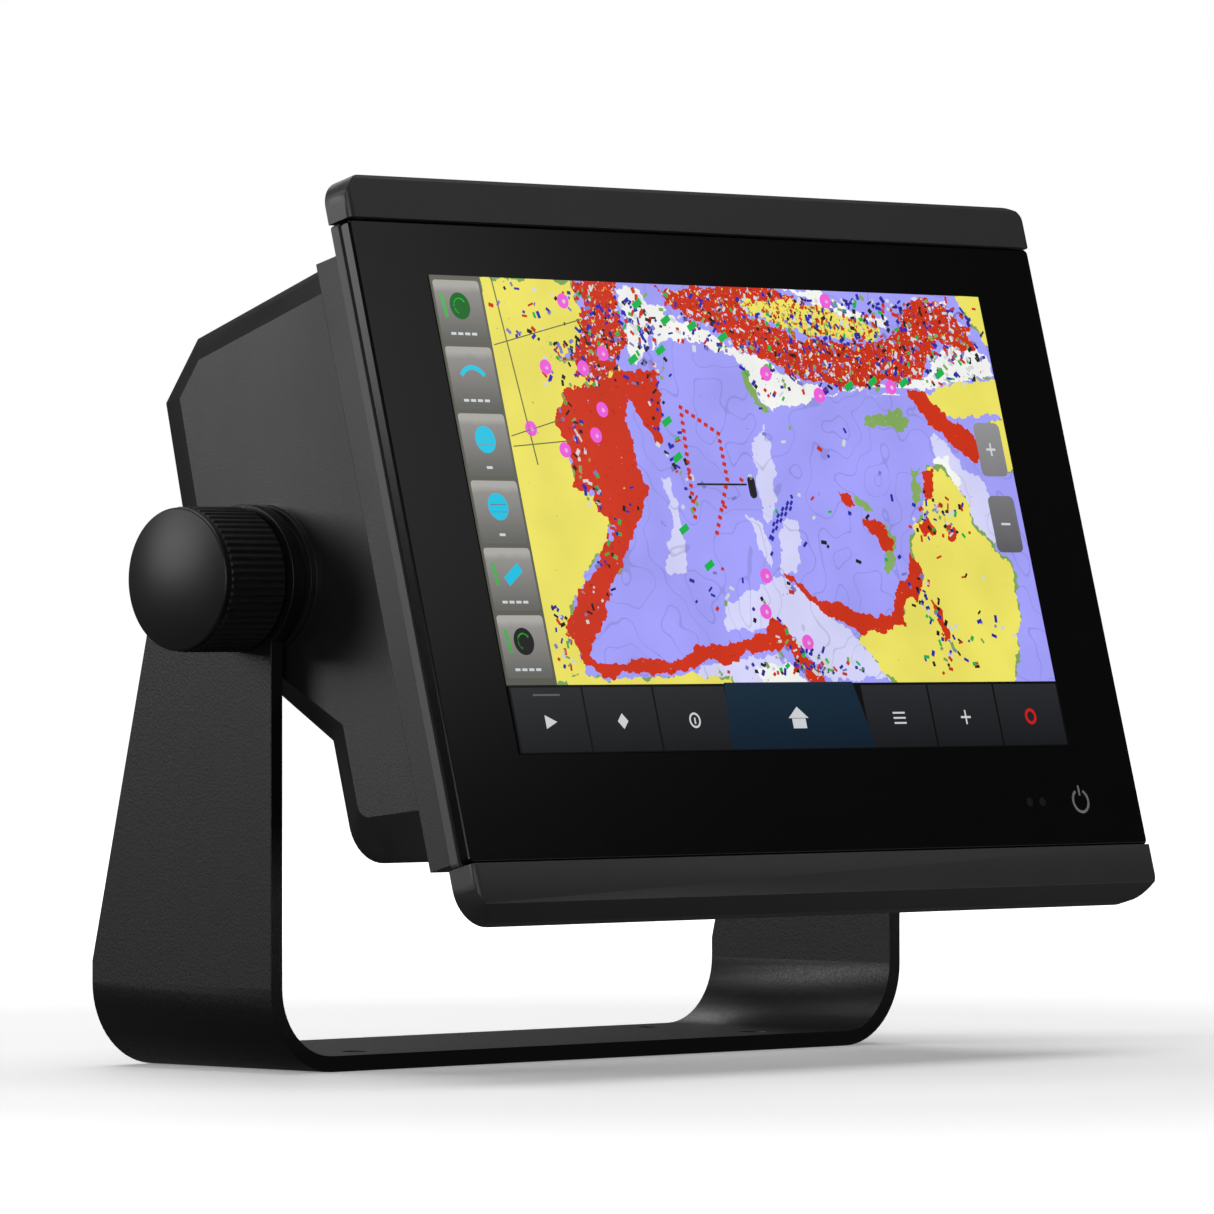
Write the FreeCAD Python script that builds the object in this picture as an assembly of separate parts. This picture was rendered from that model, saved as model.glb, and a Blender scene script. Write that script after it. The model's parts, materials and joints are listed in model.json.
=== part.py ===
import FreeCAD, Part
import math
import os

# Chartplotter display on a tilting bail bracket. Millimetres, +Z up, +X to the viewer's right,
# the screen faces -Y. The origin is the centre of the base's screw pattern, on its underside.
# Everything that tilts is drawn upright first, with the tilt axis along X through (0, 0, 0), -Y in
# front of it and +Z above it, and is then leaned back and set on the bracket.

V = FreeCAD.Vector

# ---- driving dimensions -------------------------------------------------------------------------
LEAN = 15.0               # degrees the screen leans back at rest
PIVOT_Y = -16.5           # tilt axis, from the centre of the base
PIVOT_Z = 92.0            # tilt axis above the mounting surface

FRONT_HALF = 94.0         # half width of the glass and the trim caps
CAP_TOP = 63.0            # top of the upper trim cap, above the tilt axis
CAP_BOTTOM = -77.7        # bottom of the lower trim cap
GLASS_TOP = 54.4
GLASS_BOTTOM = -66.9

SCREEN_HALF = 76.0        # active picture: 152 x 91 mm, a 7.0 inch diagonal at 5:3
SCREEN_TOP = 44.1
SCREEN_BOTTOM = -46.9

# Depth stations, measured from the tilt axis (negative is towards the viewer).
CAP_FRONT = -52.3
GLASS_FRONT = -51.5
GLASS_BACK = -49.2
BEZEL_FRONT = -48.3
BEZEL_BACK = -46.3
CHASSIS_BACK = -41.6
FLANGE_BACK = -39.0
LOWER_BACK = -7.5         # rear face of the shallow lower part, where the sockets are
DEEP_BACK = 21.4          # rear face of the deep upper part

HOUSING_HALF = 81.0       # half width of the rear housing at its flat sides
HOUSING_BEVEL = 2.5       # how far in the bevelled edges of the sides run
FLANGE_HALF = 93.0
FLANGE_TOP = 49.0
FLANGE_BOTTOM = -66.0
STEP_HALF = 86.0          # inside this the flange reaches up to STEP_TOP
STEP_TOP = 53.8
WALL = 2.6

LEG_OUTER = 87.0          # outer face of each bracket leg
PLATE = 3.0               # bracket plate thickness
BEND_OUTER = 16.0         # outer bend radius of the bracket
BASE_FRONT = -8.0         # front edge of the bracket, from the tilt axis
BASE_BACK = 41.0          # rear edge of its base
LEG_HEAD_R = 14.0
SLANT_TOP = (25.8, -10.0) # where the leg's straight rear edge starts, and where it ends
SLANT_FOOT_Z = -72.0
BASE_HOLE_R = 2.5
BASE_HOLE_X = 110.0       # screw spacing across and along the base
BASE_HOLE_Y = 28.0

STUD_R = 3.0              # M6 clamping stud
KNOB_R = 13.5             # over the ribs of the grip
KNOB_CORE_R = 12.0        # inside the grip
KNOB_CAP_R = 13.3         # the smooth cap that ends the core
KNOB_IN = 88.0            # inner face of each knob
KNOB_RIM = 103.4          # outer rim of each knob's cap
KNOB_CAP = 1.3            # thickness of the cap at its rim
KNOB_DOME = 2.2           # how far the smooth end bulges
KNOB_TIP_R = 0.9          # the small flat at the middle of the dome
RIBS = 60
RIB_DEPTH = 0.3

SOCKET_Z = -42.0          # height of the row of sockets
SOCKET_MIDDLE = 8.0       # X of the third socket of the row
SOCKET_PITCH = 29.0
DOOR_X, DOOR_Z = 46.0, 22.0          # centre of the memory card door
DOOR_HALF_W, DOOR_HALF_H = 19.0, 9.0
SKIN_BACK = 20.6          # rear face level at the card door's height, before the recess
CARD_PAD = 14.4           # inner face of the thick wall that the card reader is fixed to
VENT_X, VENT_Z = 46.0, 3.5

CORNER_HOLE_R = 2.2       # flush-mount screw holes under the trim caps
CORNER_HOLES = [(x, z) for x in (-88.0, 88.0) for z in (58.0, -71.3)]
HOUSING_SCREWS = [(x, z) for x in (-87.5, 87.5) for z in (-56.0, -8.0, 40.0)]

nodes = {}


# ---- helpers ------------------------------------------------------------------------------------
def box(x0, x1, y0, y1, z0, z1):
    return Part.makeBox(x1 - x0, y1 - y0, z1 - z0, V(x0, y0, z0))


def cyl_x(radius, x0, x1, y=0.0, z=0.0):
    return Part.makeCylinder(radius, x1 - x0, V(x0, y, z), V(1, 0, 0))


def cyl_y(radius, y0, y1, x=0.0, z=0.0):
    return Part.makeCylinder(radius, y1 - y0, V(x, y0, z), V(0, 1, 0))


def ring_x(outer, inner, x0, x1):
    return cyl_x(outer, x0, x1).cut(cyl_x(inner, x0, x1))


def ring_y(outer, inner, y0, y1, x=0.0, z=0.0):
    return cyl_y(outer, y0, y1, x, z).cut(cyl_y(inner, y0, y1, x, z))


def round_plate(x0, x1, z0, z1, radius, y0, y1):
    """A plate in the XZ plane with rounded corners, from y0 to y1."""
    plate = box(x0, x1, y0, y1, z0, z1)
    upright = [e for e in plate.Edges if abs(e.tangentAt(e.FirstParameter).y) > 0.9]
    return plate.makeFillet(radius, upright)


def prism_x(points, x0, x1):
    """A (y, z) outline of straight runs, extruded along X."""
    path = [V(x0, y, z) for y, z in points]
    return Part.Face(Part.makePolygon(path + path[:1])).extrude(V(x1 - x0, 0, 0))


def revolve_x(points):
    """A (x, radius) outline turned about the tilt axis."""
    path = [V(x, radius, 0) for x, radius in points]
    return Part.Face(Part.makePolygon(path + path[:1])).revolve(V(0, 0, 0), V(1, 0, 0), 360)


def mirrored(shape):
    return shape.mirror(V(0, 0, 0), V(1, 0, 0))


def edges_where(shape, test):
    """Edges whose two ends and middle all pass the test."""
    found = []
    for edge in shape.Edges:
        middle = edge.valueAt((edge.FirstParameter + edge.LastParameter) / 2)
        spots = [vertex.Point for vertex in edge.Vertexes] + [middle]
        if all(test(spot) for spot in spots):
            found.append(edge)
    return found


def group(shapes):
    return Part.makeCompound(list(shapes))


def add(name, shape, tilts=True):
    """Keep a finished node. What tilts is leaned back and lifted onto the bracket's pivot."""
    shape = shape.copy()
    if tilts:
        shape.rotate(V(0, 0, 0), V(1, 0, 0), -LEAN)
    shape.translate(V(0, PIVOT_Y, PIVOT_Z))
    nodes[name] = shape


# ---- bracket ------------------------------------------------------------------------------------
def bail_bracket():
    """One bent strip: a flat base, two large bends and two tapered legs with round heads."""
    floor = -PIVOT_Z
    inner = LEG_OUTER - PLATE
    top = LEG_HEAD_R + 1.0

    def u_outline(half, low, bend):
        turn = bend * (1 - math.sqrt(0.5))
        right = [V(half, 0, top), V(half, 0, low + bend), V(half - turn, 0, low + turn),
                 V(half - bend, 0, low)]
        left = [V(-point.x, 0, point.z) for point in right]
        edges = [
            Part.LineSegment(right[0], right[1]).toShape(),
            Part.Arc(right[1], right[2], right[3]).toShape(),
            Part.LineSegment(right[3], left[3]).toShape(),
            Part.Arc(left[3], left[2], left[1]).toShape(),
            Part.LineSegment(left[1], left[0]).toShape(),
            Part.LineSegment(left[0], right[0]).toShape(),
        ]
        return Part.Face(Part.Wire(edges))

    outer_face = u_outline(LEG_OUTER, floor, BEND_OUTER)
    inner_face = u_outline(inner, floor + PLATE, BEND_OUTER - PLATE)
    strip = outer_face.cut(inner_face).extrude(V(0, 60.0, 0))
    strip.translate(V(0, -LEG_HEAD_R - 1.0, 0))

    # Side view: a vertical front edge, a slanted rear edge, and a round head about the pivot. One
    # large arc leaves the head's circle and runs smoothly into the slant.
    slant_top = V(0, *SLANT_TOP)
    slant_foot = V(0, BASE_BACK, SLANT_FOOT_Z)
    inward = (slant_foot - slant_top).normalize().cross(V(1, 0, 0))
    gap = LEG_HEAD_R + slant_top.dot(inward)
    shoulder_r = (LEG_HEAD_R ** 2 - slant_top.dot(slant_top)) / (2 * gap)
    centre = slant_top + inward * shoulder_r
    head_end = centre * (-LEG_HEAD_R / centre.Length)
    between = (head_end - centre) + (slant_top - centre)
    shoulder = centre + between * (shoulder_r / between.Length)
    head_front = V(0, BASE_FRONT, -math.sqrt(LEG_HEAD_R ** 2 - BASE_FRONT ** 2))
    foot_front, foot_back = V(0, BASE_FRONT, floor), V(0, BASE_BACK, floor)
    side = Part.Wire([
        Part.LineSegment(foot_back, foot_front).toShape(),
        Part.LineSegment(foot_front, head_front).toShape(),
        Part.Arc(head_front, V(0, -math.sqrt(0.5), math.sqrt(0.5)) * LEG_HEAD_R, head_end).toShape(),
        Part.Arc(head_end, shoulder, slant_top).toShape(),
        Part.LineSegment(slant_top, slant_foot).toShape(),
        Part.LineSegment(slant_foot, foot_back).toShape(),
    ])
    side.translate(V(-LEG_OUTER - 1, 0, 0))
    bracket = strip.common(Part.Face(side).extrude(V(2 * LEG_OUTER + 2, 0, 0)))

    stud_clearance = STUD_R + 0.3
    bracket = bracket.cut(cyl_x(stud_clearance, -LEG_OUTER - 1, LEG_OUTER + 1))
    base_middle = (BASE_FRONT + BASE_BACK) / 2
    for x in (-BASE_HOLE_X / 2, BASE_HOLE_X / 2):
        for y in (-BASE_HOLE_Y / 2, BASE_HOLE_Y / 2):
            hole = Part.makeCylinder(BASE_HOLE_R, PLATE + 2, V(x, base_middle + y, floor - 1))
            bracket = bracket.cut(hole)
    add("bail_bracket", bracket.Solids[0], tilts=False)


# ---- front of the display -----------------------------------------------------------------------
def cap_blank(x_half, z_joint, z_free, y0, y1, corner, bevel):
    """A trim cap's outside: square where it meets the glass, rounded at its two free corners."""
    low, high = sorted((z_joint, z_free))
    inward = 1 if z_free < z_joint else -1
    blank = box(-x_half, x_half, y0, y1, low, high)

    def at_free_corner(spot):
        return abs(abs(spot.x) - x_half) < 0.01 and abs(spot.z - z_free) < 0.01

    blank = blank.makeFillet(corner, edges_where(blank, at_free_corner))
    side = [(y0, z_joint), (y0, z_free + inward * bevel), (y0 + bevel, z_free), (y1, z_free),
            (y1, z_joint)]
    rounded = box(-x_half, x_half, y0, y1, low, high)
    ends = edges_where(rounded, lambda p: abs(p.y - y0) < 0.01 and abs(abs(p.x) - x_half) < 0.01)
    return blank.common(prism_x(side, -x_half, x_half)).common(rounded.makeFillet(1.2, ends))


def trim_caps():
    """Snap-on caps that hide the flush-mount screws above and below the glass."""
    seam = 0.2
    skin = 1.6
    back = BEZEL_BACK + 0.1

    top = cap_blank(FRONT_HALF, GLASS_TOP + seam, CAP_TOP, CAP_FRONT, back, 5.0, 1.0)
    pocket = cap_blank(92.2, GLASS_TOP - 1, CAP_TOP - skin, CAP_FRONT + skin, back + 1, 3.6, 0.5)
    add("top_trim_cap", top.cut(pocket))

    bottom = cap_blank(FRONT_HALF, GLASS_BOTTOM - seam, CAP_BOTTOM, CAP_FRONT, back + 0.4, 7.0, 3.0)
    pocket = cap_blank(92.0, GLASS_BOTTOM + 1, CAP_BOTTOM + 2.5, CAP_FRONT + 2.6, back + 1, 5.2, 1.5)
    add("bottom_trim_cap", bottom.cut(pocket))


def front_stack():
    """Cover glass, its seal, the touch sensor and the bezel frame that carries them."""
    glass = round_plate(-FRONT_HALF, FRONT_HALF, GLASS_BOTTOM, GLASS_TOP, 1.0, GLASS_FRONT, GLASS_BACK)
    face_rim = edges_where(glass, lambda p: abs(p.y - GLASS_FRONT) < 0.01)
    add("cover_glass", glass.makeChamfer(0.35, face_rim))

    seal = round_plate(-92.6, 92.6, GLASS_BOTTOM + 1.4, GLASS_TOP - 1.4, 2.0, GLASS_BACK, BEZEL_FRONT)
    inside = round_plate(-88.5, 88.5, GLASS_BOTTOM + 4.4, GLASS_TOP - 2.4, 2.0, GLASS_BACK, BEZEL_FRONT)
    add("glass_gasket", seal.cut(inside))

    add("touch_sensor", box(-80, 80, GLASS_BACK, GLASS_BACK + 0.6, -50.5, 47.5))

    bezel = round_plate(-93.8, 93.8, GLASS_BOTTOM, GLASS_TOP, 0.8, BEZEL_FRONT, BEZEL_BACK)
    bezel = bezel.fuse(round_plate(-91.9, 91.9, -20.0, 61.0, 3.6, BEZEL_FRONT, BEZEL_BACK))
    bezel = bezel.fuse(round_plate(-91.6, 91.6, -74.8, 20.0, 4.8, BEZEL_FRONT, BEZEL_BACK))
    for x, z in HOUSING_SCREWS:
        bezel = bezel.fuse(cyl_y(2.4, BEZEL_BACK - 0.5, FLANGE_BACK - 2.7, x, z))
    bezel = bezel.cut(round_plate(-83.0, 83.0, -54.0, 50.6, 1.5, BEZEL_FRONT - 1, BEZEL_BACK + 0.01))
    bezel = bezel.cut(box(54.0, 84.0, BEZEL_FRONT - 1, BEZEL_BACK + 1, -62.0, -55.0))
    for x, z in CORNER_HOLES:
        bezel = bezel.cut(cyl_y(CORNER_HOLE_R, BEZEL_FRONT - 1, BEZEL_BACK + 1, x, z))
    for x, z in HOUSING_SCREWS:
        bezel = bezel.cut(cyl_y(1.55, BEZEL_BACK - 1.2, FLANGE_BACK, x, z))
    add("bezel_frame", bezel.removeSplitter())

    key_board = box(55.0, 83.0, GLASS_BACK + 0.1, GLASS_BACK + 0.9, -61.8, -55.2)
    add("touch_key_board", key_board)
    add("light_sensor", box(62.0, 65.4, GLASS_BACK + 0.9, GLASS_BACK + 2.1, -59.2, -56.8))


def display_module():
    """The liquid crystal panel and its edge-lit backlight, in a pressed metal tray."""
    x, low, high = 82.0, -52.8, 49.6
    add("lcd_panel", box(-x, x, -48.5, -46.9, low, high))
    tray = box(-x - 0.4, x + 0.4, -46.9, -42.7, low - 0.4, high + 0.4)
    add("backlight_tray", tray.cut(box(-x, x, -47.0, -43.3, low, high)))
    add("diffuser_sheet", box(-x, x, -46.9, -46.4, low, high))
    add("light_guide", box(-x, x, -46.4, -43.6, low + 3.0, high))
    add("reflector_sheet", box(-x, x, -43.6, -43.3, low, high))
    strip = box(-78.0, 78.0, -46.4, -43.6, low + 0.1, low + 1.1)
    lights = [box(led - 1.5, led + 1.5, -46.2, -43.8, low + 1.1, low + 2.6)
              for led in range(-72, 73, 12)]
    add("backlight_strip", group([strip] + lights))

    chassis = round_plate(-80.0, 80.0, -52.5, 48.0, 3.0, CHASSIS_BACK - 1.0, CHASSIS_BACK)
    for cut_x in (-40, 0, 40):
        window = round_plate(cut_x - 14, cut_x + 14, -8, 14, 3.0, CHASSIS_BACK - 2, CHASSIS_BACK + 1)
        chassis = chassis.cut(window)
    add("chassis_plate", chassis)

    # A flat cable from the foot of the panel, under the chassis, to the main board.
    outer = [(-48.5, -52.8), (-48.5, -53.9), (-36.2, -53.9), (-36.2, -48.3), (-33.0, -48.3)]
    inner = [(-33.0, -48.0), (-36.5, -48.0), (-36.5, -53.6), (-48.2, -53.6), (-48.2, -52.8)]
    add("display_ribbon", prism_x(outer + inner, -20.0, 20.0))


# ---- rear housing -------------------------------------------------------------------------------
def housing_wire(x, corners, bend):
    """The housing's side profile at one X: straight runs, and one arc at the lower rear corner."""
    before, middle, after = bend
    points = [V(x, y, z) for y, z in corners]
    start, through, end = (V(x, y, z) for y, z in (before, middle, after))
    run = points + [start]
    edges = [Part.LineSegment(a, b).toShape() for a, b in zip(run, run[1:])]
    edges.append(Part.Arc(start, through, end).toShape())
    edges.append(Part.LineSegment(end, points[0]).toShape())
    return Part.Wire(edges)


# Lower front, upper front, top rear, upper rear, rear foot and step of the profile.
FULL_PROFILE = [(BEZEL_BACK, -65.6), (BEZEL_BACK, 54.0), (8.3, 49.3), (19.9, 40.0),
                (DEEP_BACK, -3.0), (LOWER_BACK, -33.0)]
FULL_BEND = [(LOWER_BACK, -50.0), (-10.2, -55.8), (-16.0, -58.4)]
SIDE_PROFILE = [(BEZEL_BACK, -54.2), (BEZEL_BACK, 48.6), (6.6, 44.6), (13.5, 39.0),
                (14.8, -5.2), (-13.2, -31.4)]
SIDE_BEND = [(-13.1, -46.8), (-13.8, -48.6), (-15.6, -49.6)]


def flange_plate(inset, y0, y1):
    """The flange's outline, notched at its two upper corners, drawn in by the inset."""
    right = [(FLANGE_HALF, FLANGE_BOTTOM + inset), (FLANGE_HALF, FLANGE_TOP - inset),
             (STEP_HALF, FLANGE_TOP - inset), (STEP_HALF, STEP_TOP - inset)]
    right = [(x - inset, z) for x, z in right]
    outline = right + [(-x, z) for x, z in reversed(right)]
    path = [V(x, y0, z) for x, z in outline]
    return Part.Face(Part.makePolygon(path + path[:1])).extrude(V(0, y1 - y0, 0))


def seal_ring(y0, y1):
    return flange_plate(0.8, y0, y1).cut(flange_plate(2.2, y0, y1))


def rear_housing():
    flat = HOUSING_HALF - HOUSING_BEVEL
    shell = Part.makeLoft([
        housing_wire(-HOUSING_HALF, SIDE_PROFILE, SIDE_BEND),
        housing_wire(-flat, FULL_PROFILE, FULL_BEND),
        housing_wire(flat, FULL_PROFILE, FULL_BEND),
        housing_wire(HOUSING_HALF, SIDE_PROFILE, SIDE_BEND),
    ], True, True)

    flange = flange_plate(0, BEZEL_BACK, FLANGE_BACK)
    flange = flange.makeChamfer(1.2, edges_where(flange, lambda p: abs(p.y - FLANGE_BACK) < 0.01))
    bosses = [cyl_x(LEG_HEAD_R, HOUSING_HALF - 1, HOUSING_HALF + 1.4)]
    bosses.append(mirrored(bosses[0]))
    shell = shell.fuse([flange] + bosses)

    # The hollow for the electronics keeps thicker side walls, which hold the pivot inserts.
    hollow_half = HOUSING_HALF - 5.0
    hollow_wire = housing_wire(-hollow_half, FULL_PROFILE, FULL_BEND).makeOffset2D(-WALL)
    shell = shell.cut(Part.Face(hollow_wire).extrude(V(2 * hollow_half, 0, 0)))
    card_pad = box(DOOR_X - 22.0, DOOR_X + 22.0, CARD_PAD, SKIN_BACK - 1.5, DOOR_Z - 12.0, DOOR_Z + 12.0)
    shell = shell.fuse(card_pad)
    ledge = 2.5
    pockets = [
        box(-90.0, 90.0, BEZEL_BACK - 1, FLANGE_BACK - ledge, -63.0, 46.0),
        box(-82.6, 82.6, BEZEL_BACK - 1, FLANGE_BACK - ledge, -63.0, 50.6),
    ]
    shell = shell.cut(pockets + [seal_ring(BEZEL_BACK, BEZEL_BACK + 1.0)])

    for x, z in HOUSING_SCREWS:
        shell = shell.cut(cyl_y(1.7, FLANGE_BACK - ledge - 1, FLANGE_BACK + 1, x, z))
    for side in (-1, 1):
        start, end = sorted((side * (hollow_half - 1), side * (HOUSING_HALF + 2)))
        shell = shell.cut(cyl_x(5.0, start, end))
    for x, _, neck, _, _ in SOCKETS:
        shell = shell.cut(cyl_y(neck + 0.1, LOWER_BACK - WALL - 1, LOWER_BACK + 1, x, SOCKET_Z))

    # Cooling ribs on the deep rear face, left of the card door, cut as grooves between them.
    for rib in range(13):
        x = -68.0 + 6.6 * rib
        groove = box(x, x + 3.0, DEEP_BACK - 3.0, DEEP_BACK + 2.0, 2.0, 36.0)
        groove.rotate(V(0, DEEP_BACK, -3.0), V(1, 0, 0), 2.0)
        groove.translate(V(0, 1.6, 0))
        shell = shell.cut(groove)

    shell = shell.cut(card_recess())
    shell = shell.cut([cyl_y(1.5, 5.0, 30.0, VENT_X, VENT_Z), cyl_y(3.05, 19.2, 30.0, VENT_X, VENT_Z)])
    add("rear_housing", shell.removeSplitter())

    add("housing_seal", seal_ring(BEZEL_BACK, BEZEL_BACK + 1.0))


def housing_screws():
    """Pan-head screws from behind, through the flange into the bezel's bosses."""
    screws = []
    for x, z in HOUSING_SCREWS:
        head = cyl_y(2.8, FLANGE_BACK, FLANGE_BACK + 1.8, x, z)
        head = head.makeFillet(0.7, edges_where(head, lambda p: p.y > FLANGE_BACK + 1.7)[:1])
        shank = cyl_y(1.5, BEZEL_BACK + 0.2, FLANGE_BACK, x, z)
        low, high = FLANGE_BACK + 1.0, FLANGE_BACK + 2.0
        drive = box(x - 1.6, x + 1.6, low, high, z - 0.35, z + 0.35)
        drive = drive.fuse(box(x - 0.35, x + 0.35, low, high, z - 1.6, z + 1.6))
        screws.append(head.fuse(shank).cut(drive).removeSplitter())
    add("housing_screws", group(screws))


# ---- memory card and vent -----------------------------------------------------------------------
def card_recess():
    """The pocket in the deep rear face that the card door closes, and the slot for the card."""
    half_w, half_h = DOOR_HALF_W + 0.4, DOOR_HALF_H + 0.4
    pocket = box(DOOR_X - half_w, DOOR_X + half_w, SKIN_BACK - 2.2, SKIN_BACK + 4.0,
                 DOOR_Z - half_h, DOOR_Z + half_h)
    slot = box(DOOR_X - 13.0, DOOR_X + 13.0, 10.0, SKIN_BACK, DOOR_Z - 2.5, DOOR_Z + 2.5)
    return pocket.fuse(slot)


def card_parts():
    """The hinged card door with its pin and seal, and the card in its spring-loaded reader."""
    left, right = DOOR_X - DOOR_HALF_W, DOOR_X + DOOR_HALF_W
    foot, head = DOOR_Z - DOOR_HALF_H, DOOR_Z + DOOR_HALF_H
    hinge_x = right - 1.4
    hinge_y = SKIN_BACK - 0.9

    def upright_rod(radius, low, high):
        return Part.makeCylinder(radius, high - low, V(hinge_x, hinge_y, low))

    door = round_plate(left, right, foot, head, 1.5, SKIN_BACK - 1.8, SKIN_BACK)
    door = door.cut(box(hinge_x - 1.4, hinge_x + 3.0, SKIN_BACK - 3, SKIN_BACK + 1, foot - 1, head + 1))
    barrel = upright_rod(0.9, foot + 2.5, head - 2.5)
    web = box(hinge_x - 2.0, hinge_x, SKIN_BACK - 1.3, SKIN_BACK - 0.5, foot + 2.5, head - 2.5)
    door = door.fuse([barrel, web]).cut(upright_rod(0.5, foot - 1, head + 1))
    nail_notch = cyl_y(2.2, SKIN_BACK - 0.7, SKIN_BACK + 1, left + 0.4, DOOR_Z)
    add("card_door", door.cut(nail_notch).removeSplitter())
    add("card_door_pin", upright_rod(0.45, foot - 0.4, head + 0.4))

    seal = box(DOOR_X - 16.0, DOOR_X + 14.0, SKIN_BACK - 2.2, SKIN_BACK - 1.8, DOOR_Z - 5.5, DOOR_Z + 5.5)
    inside = box(DOOR_X - 14.5, DOOR_X + 13.4, SKIN_BACK - 3, SKIN_BACK, DOOR_Z - 4.3, DOOR_Z + 4.3)
    add("card_door_seal", seal.cut(inside))

    cage = box(DOOR_X - 14.0, DOOR_X + 14.0, -12.0, CARD_PAD, DOOR_Z - 2.2, DOOR_Z + 2.0)
    space = box(DOOR_X - 12.4, DOOR_X + 12.4, -11.2, CARD_PAD + 1, DOOR_Z - 1.5, DOOR_Z + 1.4)
    add("card_reader", cage.cut(space))

    card = box(DOOR_X - 12.0, DOOR_X + 12.0, -9.6, 17.6, DOOR_Z - 1.1, DOOR_Z + 1.0)
    notch = prism_corner(DOOR_X + 12.0, -9.6, 4.0, DOOR_Z)
    add("memory_card", card.cut(notch))


def prism_corner(x, y, size, z):
    """The cut-off corner of a memory card."""
    path = [V(x + 0.01, y - 0.01, z - 3), V(x + 0.01, y + size, z - 3), V(x - size, y - 0.01, z - 3)]
    return Part.Face(Part.makePolygon(path + path[:1])).extrude(V(0, 0, 6))


def vent():
    """A membrane that lets the housing breathe, at the foot of a pocket, under a pierced cap."""
    add("vent_membrane", cyl_y(3.0, 19.2, 19.5, VENT_X, VENT_Z))
    add("vent_cap", ring_y(3.0, 1.0, 19.5, 21.0, VENT_X, VENT_Z))


# ---- sockets ------------------------------------------------------------------------------------
# x, name, neck radius through the wall, barrel radius, contacts as (circle radius, number)
SOCKETS = [
    (SOCKET_MIDDLE - 2 * SOCKET_PITCH, "power_socket", 5.6, 7.0, (2.9, 4)),
    (SOCKET_MIDDLE - SOCKET_PITCH, "sensor_bus_socket", 4.8, 6.0, (2.5, 5)),
    (SOCKET_MIDDLE, "sonar_socket", 6.2, 7.6, (3.6, 8)),
    (SOCKET_MIDDLE + SOCKET_PITCH, "ethernet_socket", 6.2, 7.6, (3.2, 8)),
    (SOCKET_MIDDLE + 2 * SOCKET_PITCH, "video_socket", 4.2, 5.4, (0.0, 1)),
]
SOCKET_SEAL = 0.6
SOCKET_FLANGE = 1.6
SOCKET_LENGTH = 12.4
CONTACT_R = 0.5


def contact_spots(x, circle, count):
    """Where a socket's contacts stand: evenly round a circle, as (x, z)."""
    turns = [2 * math.pi * (index + 0.5) / count for index in range(count)]
    return [(x + circle * math.cos(turn), SOCKET_Z + circle * math.sin(turn)) for turn in turns]


def sockets():
    """Round bulkhead sockets: neck through the wall, flange on a seal, and an open barrel."""
    seals, nuts, contacts = [], [], []
    for x, name, neck, barrel, (circle, count) in SOCKETS:
        face = LOWER_BACK + SOCKET_SEAL
        mouth = face + SOCKET_FLANGE + SOCKET_LENGTH
        floor = mouth - 11.5
        body = cyl_y(neck, LOWER_BACK - WALL - 3.2, face, x, SOCKET_Z)
        body = body.fuse(cyl_y(barrel + 1.2, face, face + SOCKET_FLANGE, x, SOCKET_Z))
        body = body.fuse(cyl_y(barrel, face + SOCKET_FLANGE, mouth, x, SOCKET_Z))
        bore = barrel - 1.5
        body = body.cut(cyl_y(bore, floor, mouth + 1, x, SOCKET_Z))
        bore_top = SOCKET_Z + bore
        key = box(x - 0.7, x + 0.7, floor, mouth - 1.0, bore_top - 0.9, bore_top + 0.4)
        body = body.fuse(key)
        spots = contact_spots(x, circle, count)
        pins = [cyl_y(CONTACT_R, LOWER_BACK - WALL - 6.4, floor + 4.5, *spot) for spot in spots]
        add(name, body.cut(pins).removeSplitter())
        contacts += pins
        seals.append(ring_y(barrel + 0.8, neck + 0.1, LOWER_BACK, face, x, SOCKET_Z))
        nut_r, nut_depth = neck + 2.4, 2.4
        turns = [math.radians(60 * corner) for corner in range(6)]
        path = [V(x + nut_r * math.cos(turn), LOWER_BACK - WALL - nut_depth, SOCKET_Z + nut_r * math.sin(turn))
                for turn in turns]
        nut = Part.Face(Part.makePolygon(path + path[:1])).extrude(V(0, nut_depth, 0))
        nuts.append(nut.cut(cyl_y(neck, LOWER_BACK - WALL - 3, LOWER_BACK, x, SOCKET_Z)))
    add("socket_pins", group(contacts))
    add("socket_seals", group(seals))
    add("socket_nuts", group(nuts))


# ---- electronics --------------------------------------------------------------------------------
BOARD = 1.6               # thickness of the circuit boards
BOARD_BACK = -31.4        # rear face of the main board, which carries its chips
SONAR_BACK = -6.0         # rear face of the sonar board
# Centre x and z, half width and height of each chip.
CHIPS = [(-20, 10, 11, 1.6), (8, 12, 7, 1.2), (8, -6, 7, 1.2), (-44, 20, 6, 1.4), (38, 24, 8, 1.4),
         (-40, -20, 5, 2.0)]
CAPACITORS = [(-20.0, 14.0), (-20.0, 28.0), (-6.0, 14.0), (-6.0, 28.0)]


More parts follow.
